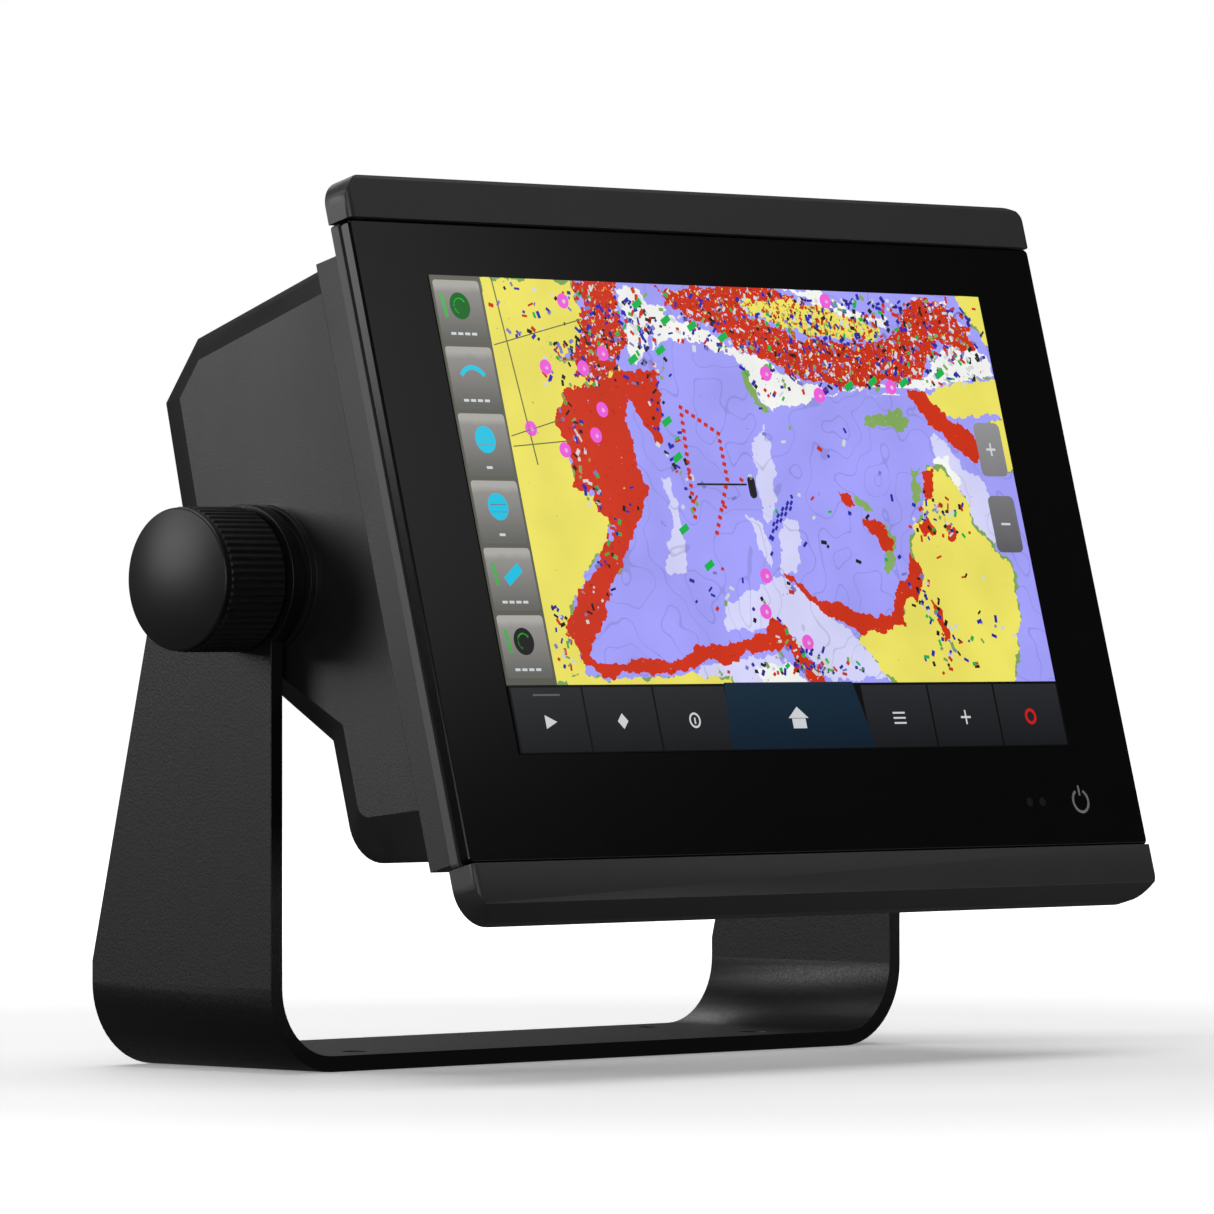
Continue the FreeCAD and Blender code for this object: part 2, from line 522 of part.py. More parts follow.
def electronics():
    """Main board, sonar board and socket board, with what stands on them and what holds them."""
    board_front = BOARD_BACK - BOARD
    add("main_board", box(-70.0, 70.0, board_front, BOARD_BACK, -50.0, 42.0))
    chips = [box(x - half, x + half, BOARD_BACK, BOARD_BACK + high, z - half, z + half)
             for x, z, half, high in CHIPS]
    add("main_board_chips", group(chips))
    add("heat_spreader", box(-34.0, 18.0, BOARD_BACK + 1.6, BOARD_BACK + 4.6, -16.0, 24.0))
    add("clock_cell", cyl_y(10.0, BOARD_BACK, BOARD_BACK + 3.2, 52.0, -8.0))
    add("buzzer", cyl_y(6.0, BOARD_BACK, BOARD_BACK + 5.5, 50.0, -34.0))

    core = box(-52.0, -32.0, SONAR_BACK, 8.0, 12.0, 32.0)
    window = box(-53.0, -31.0, -3.0, 5.0, 15.5, 28.5).cut(box(-53.0, -31.0, -3.0, 5.0, 19.0, 25.0))
    add("sonar_transformer", core.cut(window))
    add("capacitors", group([cyl_y(5.0, SONAR_BACK, 7.0, x, z) for x, z in CAPACITORS]))
    sink = box(2.0, 22.0, SONAR_BACK, SONAR_BACK + 3.0, 8.0, 34.0)
    for fin in range(6):
        fin_x = 2.0 + 3.7 * fin
        sink = sink.fuse(box(fin_x, fin_x + 1.4, SONAR_BACK + 2.5, 8.0, 8.0, 34.0))
    add("heat_sink", sink.removeSplitter())

    corners = [(x, z) for x in (-58.0, 26.0) for z in (8.0, 34.0)]
    chassis_corners = [(x, z) for x in (-64.0, 64.0) for z in (-44.0, 36.0)]
    sonar_front = SONAR_BACK - BOARD
    posts = [ring_y(2.6, 1.2, BOARD_BACK, sonar_front, x, z) for x, z in corners]
    posts += [ring_y(2.6, 1.2, CHASSIS_BACK, board_front, x, z) for x, z in chassis_corners]
    add("board_standoffs", group(posts))
    shanks = [cyl_y(1.1, -12.0, SONAR_BACK, x, z) for x, z in corners]
    heads = [cyl_y(2.2, SONAR_BACK, SONAR_BACK + 1.4, x, z) for x, z in corners]
    add("board_screws", group([shank.fuse(head) for shank, head in zip(shanks, heads)]))
    board_holes = [cyl_y(1.15, -8.0, -5.0, x, z) for x, z in corners]
    add("sonar_board", box(-62.0, 30.0, sonar_front, SONAR_BACK, 4.0, 38.0).cut(board_holes))

    link_back = LOWER_BACK - WALL - 5.6
    board = box(-70.0, 70.0, link_back, link_back + 1.4, -55.0, -34.0)
    for x, _, _, _, (circle, count) in SOCKETS:
        board = board.cut([cyl_y(CONTACT_R, -20, 0, *spot) for spot in contact_spots(x, circle, count)])
    add("socket_board", board)
    add("board_link", box(-16.0, 16.0, BOARD_BACK, link_back, -50.0, -46.9))
    add("position_antenna", box(-12.5, 12.5, -21.5, 3.5, 43.0, 47.0))


# ---- clamping knobs -----------------------------------------------------------------------------
def knobs():
    """Each side: brass insert in the housing, pad, washer, stud, plastic core and ribbed grip."""
    inserts, pads = [], []
    insert = ring_x(5.0, STUD_R + 0.05, HOUSING_HALF - 5.0, HOUSING_HALF + 1.0)
    pad = ring_x(13.0, 4.5, HOUSING_HALF + 1.4, LEG_OUTER - PLATE - 0.1)
    for name, flip in (("right", False), ("left", True)):
        def side(shape):
            return mirrored(shape) if flip else shape

        inserts.append(side(insert))
        pads.append(side(pad))
        washer = ring_x(10.5, STUD_R + 0.4, LEG_OUTER + 0.1, KNOB_IN)
        add(name + "_knob_washer", side(washer))
        add(name + "_knob_stud", side(knob_stud()))
        add(name + "_knob", side(knob_core()))
        add(name + "_knob_grip", side(knob_grip()))
    add("pivot_inserts", group(inserts))
    add("friction_pads", group(pads))


def knob_stud():
    stud = cyl_x(STUD_R, HOUSING_HALF - 4.6, KNOB_IN + 8.0)
    head = cyl_x(4.6, KNOB_IN + 2.0, KNOB_IN + 7.0)
    return stud.fuse(head).removeSplitter()


def knob_core():
    """Moulded core: a plain drum inside the grip, ending in a domed cap over the grip's end."""
    cap_in = KNOB_RIM - KNOB_CAP
    sphere_r = (KNOB_CAP_R ** 2 + KNOB_DOME ** 2) / (2 * KNOB_DOME)

    def on_dome(radius):
        lift = math.sqrt(sphere_r ** 2 - radius ** 2) - (sphere_r - KNOB_DOME)
        return V(KNOB_RIM + lift, radius, 0)

    rim, tip = on_dome(KNOB_CAP_R), on_dome(KNOB_TIP_R)
    corners = [tip, V(tip.x, 0, 0), V(KNOB_IN, 0, 0), V(KNOB_IN, KNOB_CORE_R, 0),
               V(cap_in, KNOB_CORE_R, 0), V(cap_in, KNOB_CAP_R, 0), rim]
    edges = [Part.LineSegment(a, b).toShape() for a, b in zip(corners, corners[1:])]
    edges.append(Part.Arc(rim, on_dome(KNOB_CAP_R / 2), tip).toShape())
    core = Part.Face(Part.Wire(edges)).revolve(V(0, 0, 0), V(1, 0, 0), 360)
    core = core.makeFillet(0.5, edges_where(core, lambda p: abs(p.x - KNOB_RIM) < 0.01))
    return core.cut(knob_stud())


def knob_grip():
    """Rubber sleeve with fine ribs along the knob."""
    path = []
    for index in range(2 * RIBS):
        radius = KNOB_R if index % 2 else KNOB_R - RIB_DEPTH
        for offset in (-0.25, 0.25):
            angle = math.pi * (index + offset) / RIBS
            path.append(V(KNOB_IN, radius * math.cos(angle), radius * math.sin(angle)))
    end = KNOB_RIM - KNOB_CAP
    sleeve = Part.Face(Part.makePolygon(path + path[:1])).extrude(V(end - KNOB_IN, 0, 0))
    bevels = revolve_x([(KNOB_IN, 0), (KNOB_IN, KNOB_R - 0.6), (KNOB_IN + 0.8, KNOB_R + 0.2),
                        (end - 0.6, KNOB_R + 0.2), (end, KNOB_R - 0.4), (end, 0)])
    return sleeve.common(bevels).cut(cyl_x(KNOB_CORE_R, KNOB_IN - 1, KNOB_RIM + 1))


# ---- build and write ----------------------------------------------------------------------------
bail_bracket()
trim_caps()
front_stack()
display_module()
rear_housing()
housing_screws()
card_parts()
vent()
sockets()
electronics()
knobs()

os.makedirs("parts", exist_ok=True)
for node, shape in nodes.items():
    if not shape.isValid():
        print("invalid:", node)
    if shape.ShapeType != "Compound" and len(shape.Solids) != 1:
        print("solids:", node, len(shape.Solids))
    shape.exportStep("parts/" + node + ".step")
print(len(nodes), "nodes")
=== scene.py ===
import json
import math
import random

import bmesh
import bpy
from mathutils import Matrix, Vector
from mathutils.geometry import tessellate_polygon


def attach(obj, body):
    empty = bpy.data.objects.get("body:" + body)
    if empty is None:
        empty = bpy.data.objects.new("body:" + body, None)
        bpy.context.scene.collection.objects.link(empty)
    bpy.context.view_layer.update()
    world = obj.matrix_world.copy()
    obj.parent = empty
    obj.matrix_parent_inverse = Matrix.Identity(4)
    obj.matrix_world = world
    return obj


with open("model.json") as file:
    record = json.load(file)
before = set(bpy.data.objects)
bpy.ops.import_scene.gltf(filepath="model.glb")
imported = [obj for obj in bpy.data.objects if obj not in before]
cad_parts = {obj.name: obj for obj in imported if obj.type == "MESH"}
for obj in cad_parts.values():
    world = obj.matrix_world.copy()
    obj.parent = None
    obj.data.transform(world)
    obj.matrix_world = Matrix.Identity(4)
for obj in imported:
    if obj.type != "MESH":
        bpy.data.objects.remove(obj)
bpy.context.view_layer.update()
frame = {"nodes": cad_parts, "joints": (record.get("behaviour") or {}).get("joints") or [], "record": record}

MM = 0.001

# ---- the display's own frame ---------------------------------------------------------------------
# Pieces on the display are drawn upright, in millimetres: x to the right, y away from the viewer
# and z up, all from the tilt axis. They are then leaned back with it.
LEAN = math.radians(15.0)
tilt_joint = next(joint for joint in frame["joints"] if joint["name"] == "display_tilt")
PIVOT = Vector(tilt_joint["pos_m"])
UPRIGHT = Matrix.Translation(PIVOT) @ Matrix.Rotation(-LEAN, 4, "X")


def front_of(node):
    """How far forward a CAD node reaches in the display's frame, in millimetres."""
    back = UPRIGHT.inverted()
    return min((back @ vertex.co / MM).y for vertex in frame["nodes"][node].data.vertices)


GLASS_FRONT = front_of("cover_glass")
PICTURE_HALF = 76.0               # the lit picture, 152 x 91 mm
PICTURE_TOP = 44.1
PICTURE_BOTTOM = PICTURE_TOP - 91.0
BAR = 12.9                        # width of the column of tiles, and height of the menu
MENU_TOP = PICTURE_BOTTOM + BAR
TILE_EDGE = -PICTURE_HALF + BAR   # right side of the column of tiles
IMAGE_PROUD = 0.12                # the picture is drawn this far in front of the glass
LAYER = 0.02                      # and each thing drawn over it stands this much further out
SOUNDING_LAYER = 9                # the chart's ground takes layers 0 to 8
MARK_LAYER = 10                   # marks on the chart, and the ground of the menu
KEY_LAYER = 11                    # keys, and the ground of the tiles
TILE_LAYER = 12                   # tiles, the home key, and the signs on the other keys
SIGN_LAYER = 13                   # dials, and the sign on the home key
INK_PROUD = 0.03                  # marks printed on the glass stand out by their ink alone


# ---- shader graphs -------------------------------------------------------------------------------
class Graph:
    """A node material under construction: each method adds one node and returns its output."""

    def __init__(self, name):
        self.material = bpy.data.materials.new(name)
        self.material.use_nodes = True
        self.tree = self.material.node_tree
        self.shader = self.tree.nodes["Principled BSDF"]
        self.place = self.node("ShaderNodeTexCoord").outputs["Object"]

    def node(self, kind, **settings):
        made = self.tree.nodes.new(kind)
        for key, value in settings.items():
            setattr(made, key, value)
        return made

    def feed(self, socket, value):
        if isinstance(value, bpy.types.NodeSocket):
            self.tree.links.new(value, socket)
        elif socket.type == "RGBA":
            socket.default_value = (*value[:3], 1.0)
        else:
            socket.default_value = value

    def set(self, **values):
        """Set or link the shader's own sockets."""
        for key, value in values.items():
            self.feed(self.shader.inputs[key.replace("_", " ")], value)

    def math(self, operation, a, b=0.0, c=0.0, clamp=False):
        made = self.node("ShaderNodeMath", operation=operation, use_clamp=clamp)
        for socket, value in zip(made.inputs, (a, b, c)):
            self.feed(socket, value)
        return made.outputs[0]

    def vector(self, operation, a, b=None):
        made = self.node("ShaderNodeVectorMath", operation=operation)
        self.feed(made.inputs[0], a)
        if b is not None:
            self.feed(made.inputs[1], b)
        gives_number = operation in ("DOT_PRODUCT", "LENGTH")
        return made.outputs["Value" if gives_number else "Vector"]

    def height_mm(self):
        """The height of a spot in the piece's own frame, in millimetres."""
        made = self.node("ShaderNodeSeparateXYZ")
        self.feed(made.inputs[0], self.place)
        return self.math("MULTIPLY", made.outputs["Z"], 1 / MM)

    def noise(self, vector, scale, detail=2.0, roughness=0.5):
        made = self.node("ShaderNodeTexNoise")
        self.feed(made.inputs["Vector"], vector)
        self.feed(made.inputs["Scale"], scale)
        self.feed(made.inputs["Detail"], detail)
        self.feed(made.inputs["Roughness"], roughness)
        return made.outputs[0]

    def cell_walls(self, vector, scale):
        """Distance to the nearest wall of a pattern of irregular cells."""
        made = self.node("ShaderNodeTexVoronoi", feature="DISTANCE_TO_EDGE")
        self.feed(made.inputs["Vector"], vector)
        self.feed(made.inputs["Scale"], scale)
        return made.outputs[0]

    def mix(self, factor, a, b):
        made = self.node("ShaderNodeMix", data_type="RGBA")
        self.feed(made.inputs[0], factor)
        self.feed(made.inputs[6], a)
        self.feed(made.inputs[7], b)
        return made.outputs[2]

    def span(self, value, low, high, to_low=0.0, to_high=1.0):
        """Value from low..high onto to_low..to_high, held at the ends."""
        made = self.node("ShaderNodeMapRange")
        for socket, given in zip(made.inputs, (value, low, high, to_low, to_high)):
            self.feed(socket, given)
        return made.outputs[0]

    def spread(self, value, to_low=0.0, to_high=1.0):
        """A noise's usual values, 0.3 to 0.7, onto to_low..to_high."""
        return self.span(value, 0.3, 0.7, to_low, to_high)

    def bump(self, height, distance):
        """Relief that rises by distance, in metres, as height goes from 0 to 1."""
        made = self.node("ShaderNodeBump")
        self.feed(made.inputs["Strength"], 1.0)
        self.feed(made.inputs["Distance"], distance)
        self.feed(made.inputs["Height"], height)
        self.feed(self.shader.inputs["Normal"], made.outputs[0])


def tinted(colour, gain):
    """A colour made lighter or darker."""
    return tuple(channel * gain for channel in colour)


def moulded(name, colour, roughness, grain=0.35, depth=0.02, variation=0.16, specular=0.35):
    """Textured plastic: fine grain in the bump, slow drift in tone and gloss. Sizes in mm."""
    g = Graph(name)
    drift = g.noise(g.place, 18.0, 4.0, 0.6)
    speck = g.noise(g.place, 1000.0 / grain, 2.0, 0.7)
    tone = g.math("ADD", g.math("MULTIPLY", drift, 0.7), g.math("MULTIPLY", speck, 0.3))
    base = g.mix(g.spread(tone), tinted(colour, 1 - variation), tinted(colour, 1 + variation))
    g.set(Base_Color=base, Roughness=g.spread(drift, roughness - 0.05, roughness + 0.05))
    g.set(Specular_IOR_Level=specular)
    g.bump(speck, depth * MM)
    return g.material


def coated_metal(name, colour, roughness):
    """Powder coat: rounded orange-peel texture with a faint sparkle."""
    g = Graph(name)
    peel = g.noise(g.place, 1700.0, 3.0, 0.45)
    cloud = g.noise(g.place, 14.0, 3.0, 0.6)
    base = g.mix(g.spread(cloud), tinted(colour, 0.85), tinted(colour, 1.18))
    g.set(Base_Color=base, Roughness=g.spread(peel, roughness - 0.07, roughness + 0.05))
    g.set(Specular_IOR_Level=0.35)
    g.bump(peel, 0.03 * MM)
    return g.material


def metal(name, colour, roughness):
    """Brushed or rolled metal: streaks that run in planes across y."""
    g = Graph(name)
    streak = g.noise(g.vector("MULTIPLY", g.place, (30.0, 2500.0, 30.0)), 1.0, 3.0, 0.6)
    base = g.mix(g.spread(streak), tinted(colour, 0.82), tinted(colour, 1.1))
    g.set(Base_Color=base, Metallic=1.0)
    g.set(Roughness=g.spread(streak, roughness - 0.06, roughness + 0.1))
    g.bump(streak, 0.004 * MM)
    return g.material


def rubber(name, colour, roughness=0.75):
    """Matt rubber with a little pale dust on it."""
    g = Graph(name)
    dust = g.noise(g.place, 900.0, 4.0, 0.65)
    base = g.mix(g.span(dust, 0.35, 0.75), colour, tinted(colour, 1.7))
    g.set(Base_Color=base, Roughness=g.spread(dust, roughness - 0.06, roughness + 0.08))
    g.set(Specular_IOR_Level=0.25)
    g.bump(dust, 0.015 * MM)
    return g.material


def board_material(name, colour):
    """Circuit board: solder mask over faint copper runs."""
    g = Graph(name)
    runs = g.cell_walls(g.place, 450.0)
    track = g.math("LESS_THAN", runs, 0.08)
    cloud = g.noise(g.place, 60.0, 2.0)
    mask = g.mix(g.spread(cloud), tinted(colour, 0.8), tinted(colour, 1.2))
    g.set(Base_Color=g.mix(track, mask, tinted(colour, 1.9)))
    g.set(Roughness=g.spread(cloud, 0.3, 0.42))
    return g.material


def threaded_plastic(name, colour):
    """Socket moulding whose barrel carries a coarse thread, shown in the bump."""
    pitch = 1.5 * MM
    g = Graph(name)
    barrel_axis = UPRIGHT.to_3x3().inverted()[1]
    along = g.vector("DOT_PRODUCT", g.place, tuple(barrel_axis))
    wave = g.math("SINE", g.math("MULTIPLY", along, 2 * math.pi / pitch))
    grain = g.noise(g.place, 2200.0, 2.0)
    g.set(Base_Color=g.mix(g.spread(grain), tinted(colour, 0.8), tinted(colour, 1.3)))
    g.set(Roughness=g.spread(grain, 0.36, 0.5), Specular_IOR_Level=0.4)
    g.bump(g.math("ADD", wave, g.math("MULTIPLY", grain, 0.1)), 0.25 * MM)
    return g.material


def black_glass(name):
    """Cover glass with a black printed back: nearly black, sharp and faint reflections."""
    g = Graph(name)
    smear = g.noise(g.place, 9.0, 4.0, 0.55)
    wipe = g.noise(g.vector("MULTIPLY", g.place, (60.0, 60.0, 220.0)), 1.0, 3.0, 0.7)
    marks = g.math("MULTIPLY", g.span(smear, 0.45, 0.75), g.span(wipe, 0.4, 0.8))
    g.set(Base_Color=g.mix(marks, (0.0004, 0.0004, 0.0005), (0.0012, 0.0012, 0.0013)))
    g.set(Roughness=g.math("ADD", 0.15, g.math("MULTIPLY", marks, 0.05)), Specular_IOR_Level=0.25)
    return g.material


SLOT_MATERIALS = {
    "bracket_coating": coated_metal("bracket_coat", (0.0045, 0.0045, 0.0047), 0.42),
    "cover_glass": black_glass("cover_glass_black"),
    "sensor_glass": moulded("sensor_clear", (0.5, 0.52, 0.55), 0.15, depth=0.002),
    "seal_rubber": rubber("seal_black", (0.006, 0.006, 0.006)),
    "bezel_plastic": moulded("bezel_grey", (0.075, 0.076, 0.078), 0.4),
    "cap_plastic": moulded("cap_charcoal", (0.024, 0.024, 0.0245), 0.42, specular=0.6),
    "housing_plastic": moulded("housing_charcoal", (0.011, 0.011, 0.0115), 0.4, grain=0.45, specular=0.45),
    "panel_glass": moulded("panel_dark", (0.02, 0.022, 0.026), 0.12, depth=0.001),
    "clear_acrylic": moulded("acrylic", (0.6, 0.63, 0.65), 0.18, depth=0.002),
    "white_film": moulded("white_film", (0.75, 0.75, 0.74), 0.5, depth=0.004, variation=0.03),
    "tray_metal": metal("tray_sheet", (0.62, 0.63, 0.64), 0.34),
    "chassis_metal": metal("chassis_sheet", (0.55, 0.56, 0.57), 0.4),
    "ribbon_film": moulded("ribbon_amber", (0.3, 0.14, 0.02), 0.3, depth=0.003),
    "circuit_board": board_material("board_green", (0.008, 0.09, 0.035)),
    "chip_plastic": moulded("chip_black", (0.018, 0.018, 0.018), 0.5),
    "cell_steel": metal("cell_steel", (0.6, 0.6, 0.6), 0.25),
    "buzzer_plastic": moulded("buzzer_black", (0.02, 0.02, 0.02), 0.45),
    "transformer_core": moulded("ferrite", (0.05, 0.045, 0.04), 0.6),
    "capacitor_can": metal("capacitor_can", (0.3, 0.32, 0.38), 0.35),
    "sink_metal": metal("sink_aluminium", (0.5, 0.5, 0.51), 0.42),
    "standoff_brass": metal("standoff_brass", (0.6, 0.42, 0.16), 0.3),
    "screw_steel": metal("screw_steel", (0.46, 0.46, 0.47), 0.32),
    "antenna_ceramic": moulded("antenna_ceramic", (0.5, 0.42, 0.3), 0.55),
    "socket_plastic": threaded_plastic("socket_black", (0.02, 0.02, 0.021)),
    "contact_brass": metal("contact_gold", (0.75, 0.52, 0.2), 0.22),
    "nut_metal": metal("nut_nickel", (0.55, 0.53, 0.48), 0.3),
    "reader_steel": metal("reader_steel", (0.6, 0.6, 0.61), 0.3),
    "card_plastic": moulded("card_blue", (0.012, 0.03, 0.13), 0.4),
    "vent_film": moulded("vent_white", (0.6, 0.6, 0.6), 0.8),
    "knob_plastic": moulded("knob_charcoal", (0.009, 0.009, 0.0093), 0.38, grain=0.3, depth=0.01),
    "grip_rubber": rubber("grip_black", (0.012, 0.012, 0.012), 0.5),
    "insert_brass": metal("insert_brass", (0.6, 0.42, 0.16), 0.3),
    "pad_rubber": rubber("pad_black", (0.008, 0.008, 0.008)),
    "washer_plastic": moulded("washer_black", (0.012, 0.012, 0.012), 0.4),
}


# ---- carried-over CAD nodes ----------------------------------------------------------------------
EDGE_ROUND = {                    # widths of the rounded edges, in mm, on the nodes that show
    "bail_bracket": 0.6, "top_trim_cap": 0.35, "bottom_trim_cap": 0.35, "bezel_frame": 0.25,
    "rear_housing": 0.7, "cover_glass": 0.12, "card_door": 0.3, "housing_screws": 0.1,
}


def finish_node(node, slot, edge, merge_flats):
    """A CAD node's material and, where it has an edge width, rounded edges from modifiers."""
    piece = frame["nodes"][node]
    piece.data.materials.clear()
    piece.data.materials.append(SLOT_MATERIALS[slot])
    if edge:
        weld = piece.modifiers.new("weld", "WELD")
        weld.merge_threshold = 0.002 * MM
        if merge_flats:
            flat = piece.modifiers.new("merge_flat_faces", "DECIMATE")
            flat.decimate_type = "DISSOLVE"
            flat.angle_limit = math.radians(0.4)
        bevel = piece.modifiers.new("edge_round", "BEVEL")
        bevel.width = edge * MM
        bevel.segments = 3
        bevel.limit_method = "ANGLE"
        bevel.angle_limit = math.radians(32)
        bevel.harden_normals = True
        bevel.miter_outer = "MITER_ARC"


for entry in frame["record"]["subparts"]:
    # The housing's grooves leave holes in its flat faces, which don't merge cleanly.
    clean_flats = entry["node"] != "rear_housing"
    finish_node(entry["node"], entry["material_slot"], EDGE_ROUND.get(entry["node"], 0.0), clean_flats)


# ---- flat pieces on the glass --------------------------------------------------------------------
def rounded_rectangle(x0, x1, z0, z1, radius, steps=6):
    """Corner points of a rounded rectangle, anticlockwise as the viewer sees it."""
    if radius <= 0:
        return [(x0, z0), (x1, z0), (x1, z1), (x0, z1)]
    points = []
    centres = [(x1 - radius, z0 + radius, -90), (x1 - radius, z1 - radius, 0),
               (x0 + radius, z1 - radius, 90), (x0 + radius, z0 + radius, 180)]
    for cx, cz, first in centres:
        for step in range(steps + 1):
            angle = math.radians(first + 90 * step / steps)
            points.append((cx + radius * math.cos(angle), cz + radius * math.sin(angle)))
    return points


def circle(x, z, radius, steps=32):
    """Corner points of a circle, as a polygon of so many sides."""
    turns = [2 * math.pi * step / steps for step in range(steps)]
    return [(x + radius * math.cos(turn), z + radius * math.sin(turn)) for turn in turns]


def stroke(x0, z0, x1, z1, width):
    """A straight line as a thin four-sided outline."""
    run = Vector((x1 - x0, z1 - z0))
    side = Vector((-run.y, run.x)).normalized() * width / 2
    start, end = Vector((x0, z0)), Vector((x1, z1))
    return [tuple(start - side), tuple(end - side), tuple(end + side), tuple(start + side)]


def arc_band(x, z, radius, width, first, last, steps=24):
    """Part of a ring, from one angle to another in degrees."""
    turns = [math.radians(first + (last - first) * step / steps) for step in range(steps + 1)]
    far = radius + width / 2
    near = radius - width / 2
    outer = [(x + far * math.cos(turn), z + far * math.sin(turn)) for turn in turns]
    inner = [(x + near * math.cos(turn), z + near * math.sin(turn)) for turn in turns]
    return outer + inner[::-1]


def print_piece(name, shapes, proud):
    """Flat shapes on the glass, each (outline, material), whose faces stand out by proud, in mm."""
    mesh = bpy.data.meshes.new(name)
    piece = bpy.data.objects.new(name, mesh)
    bpy.context.scene.collection.objects.link(piece)
    bm = bmesh.new()
    materials = []
    front = (GLASS_FRONT - proud) * MM
    back = GLASS_FRONT * MM
    for outline, material in shapes:
        if material not in materials:
            materials.append(material)
            mesh.materials.append(material)
        face_corners = [bm.verts.new((x * MM, front, z * MM)) for x, z in outline]
        foot_corners = [bm.verts.new((x * MM, back, z * MM)) for x, z in outline]
        triangles = tessellate_polygon([[Vector((x, z, 0.0)) for x, z in outline]])
        different = {frozenset(triangle): triangle for triangle in triangles}
        faces = []
        for triangle in different.values():
            faces.append(bm.faces.new([face_corners[corner] for corner in triangle]))
        for index in range(len(outline)):
            following = (index + 1) % len(outline)
            faces.append(bm.faces.new((face_corners[following], face_corners[index],
                                       foot_corners[index], foot_corners[following])))
        for face in faces:
            face.material_index = materials.index(material)
    bmesh.ops.recalc_face_normals(bm, faces=bm.faces)
    bm.to_mesh(mesh)
    bm.free()
    piece.matrix_world = UPRIGHT
    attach(piece, "display")


# ---- colours of the lit picture ------------------------------------------------------------------
YELLOW = (0.86, 0.78, 0.13)
RED = (0.62, 0.033, 0.008)
WATER = (0.37, 0.36, 0.98)
PALE = (0.68, 0.68, 0.98)
WHITE = (0.92, 0.93, 0.9)
OLIVE = (0.24, 0.42, 0.12)
NAVY = (0.02, 0.02, 0.32)
GREEN = (0.01, 0.48, 0.08)
MAGENTA = (0.9, 0.12, 0.75)
INK = (0.015, 0.015, 0.02)


def screen_shader(g, colour):
    """A lit picture behind glass."""
    g.set(Base_Color=(0.0, 0.0, 0.0), Roughness=0.18, Specular_IOR_Level=0.3)
    g.set(Emission_Color=colour, Emission_Strength=0.95)
    return g.material


def lit(name, low, high, base=PICTURE_BOTTOM, top=PICTURE_TOP):
    """A plain part of the picture, shaded gently from low at the base to high at the top."""
    g = Graph(name)
    grain = g.math("SUBTRACT", g.noise(g.place, 260.0, 2.0), 0.5)
    rise = g.math("ADD", g.span(g.height_mm(), base, top), g.math("MULTIPLY", grain, 0.12), clamp=True)
    return screen_shader(g, g.mix(rise, low, high))


ink_white = lit("glyph_white", (0.62, 0.64, 0.66), (0.7, 0.72, 0.74))
ink_green = lit("glyph_green", (0.01, 0.42, 0.03), (0.02, 0.55, 0.05))
ink_cyan = lit("glyph_cyan", (0.0, 0.48, 0.72), (0.02, 0.62, 0.85))
ink_red = lit("glyph_red", (0.6, 0.01, 0.01), (0.7, 0.02, 0.02))
ink_dark = lit("glyph_dark", (0.008, 0.008, 0.008), (0.02, 0.02, 0.02))
road = lit("road", (0.12, 0.12, 0.05), (0.16, 0.16, 0.07))
mark_magenta = lit("mark_magenta", tinted(MAGENTA, 0.9), MAGENTA)
mark_green = lit("mark_green", tinted(GREEN, 0.9), GREEN)
mark_navy = lit("mark_navy", NAVY, tinted(NAVY, 1.3))
mark_red = lit("mark_red", tinted(RED, 0.9), RED)
mark_olive = lit("mark_olive", tinted(OLIVE, 0.8), OLIVE)
mark_blue = lit("mark_blue", tinted(WATER, 0.5), tinted(WATER, 0.6))
globe_green = lit("globe_green", (0.005, 0.09, 0.01), (0.01, 0.14, 0.02))
menu_dark = lit("menu_dark", (0.008, 0.009, 0.011), (0.022, 0.023, 0.026), top=MENU_TOP)
menu_gap = lit("menu_gap", (0.002, 0.002, 0.002), (0.004, 0.004, 0.004))
menu_home = lit("menu_home", (0.003, 0.012, 0.026), (0.007, 0.024, 0.045), top=MENU_TOP)
tile_gap = lit("tile_gap", (0.1, 0.1, 0.085), (0.13, 0.13, 0.105))
zoom_grey = lit("zoom_grey", (0.11, 0.11, 0.12), (0.3, 0.3, 0.31), base=-8.0, top=18.0)


# ---- chart ---------------------------------------------------------------------------------------
# Rough outlines (x, z) of each kind of ground, in mm, which coast() breaks up into ragged shores.
PALES = [
    [(2, 12), (7, 17), (7, 11), (6.5, 2), (5, 0), (2.5, -3), (2, 2), (1.5, 6)],
    [(8, -1.5), (11, -2), (10.5, -7), (7.5, -12.5), (3.5, -12.5), (5, -6)],
    [(-3.5, -1), (0, -2), (2, -8), (1, -11.5), (-1.5, -8)],
    [(-24.5, 6), (-22, 6), (-21.5, -2), (-22, -12.5), (-28, -12), (-26.5, -7), (-23.5, -2)],
    [(-14, -18.5), (-6, -16), (0, -14), (5, -13), (30, -33), (12, -34), (5, -27), (1, -22), (-8, -24),
     (-14, -24)],
    [(55, 16), (59, 12), (64, 8), (67, 6), (68, -4), (64, -7), (62, -4), (60.5, 2), (58, 8), (54, 11)],
    [(-38, -34), (-20, -30), (-4, -28.5), (6, -34)],
    [(56, 43), (64, 42), (70, 38), (68, 35), (60, 37)],
]
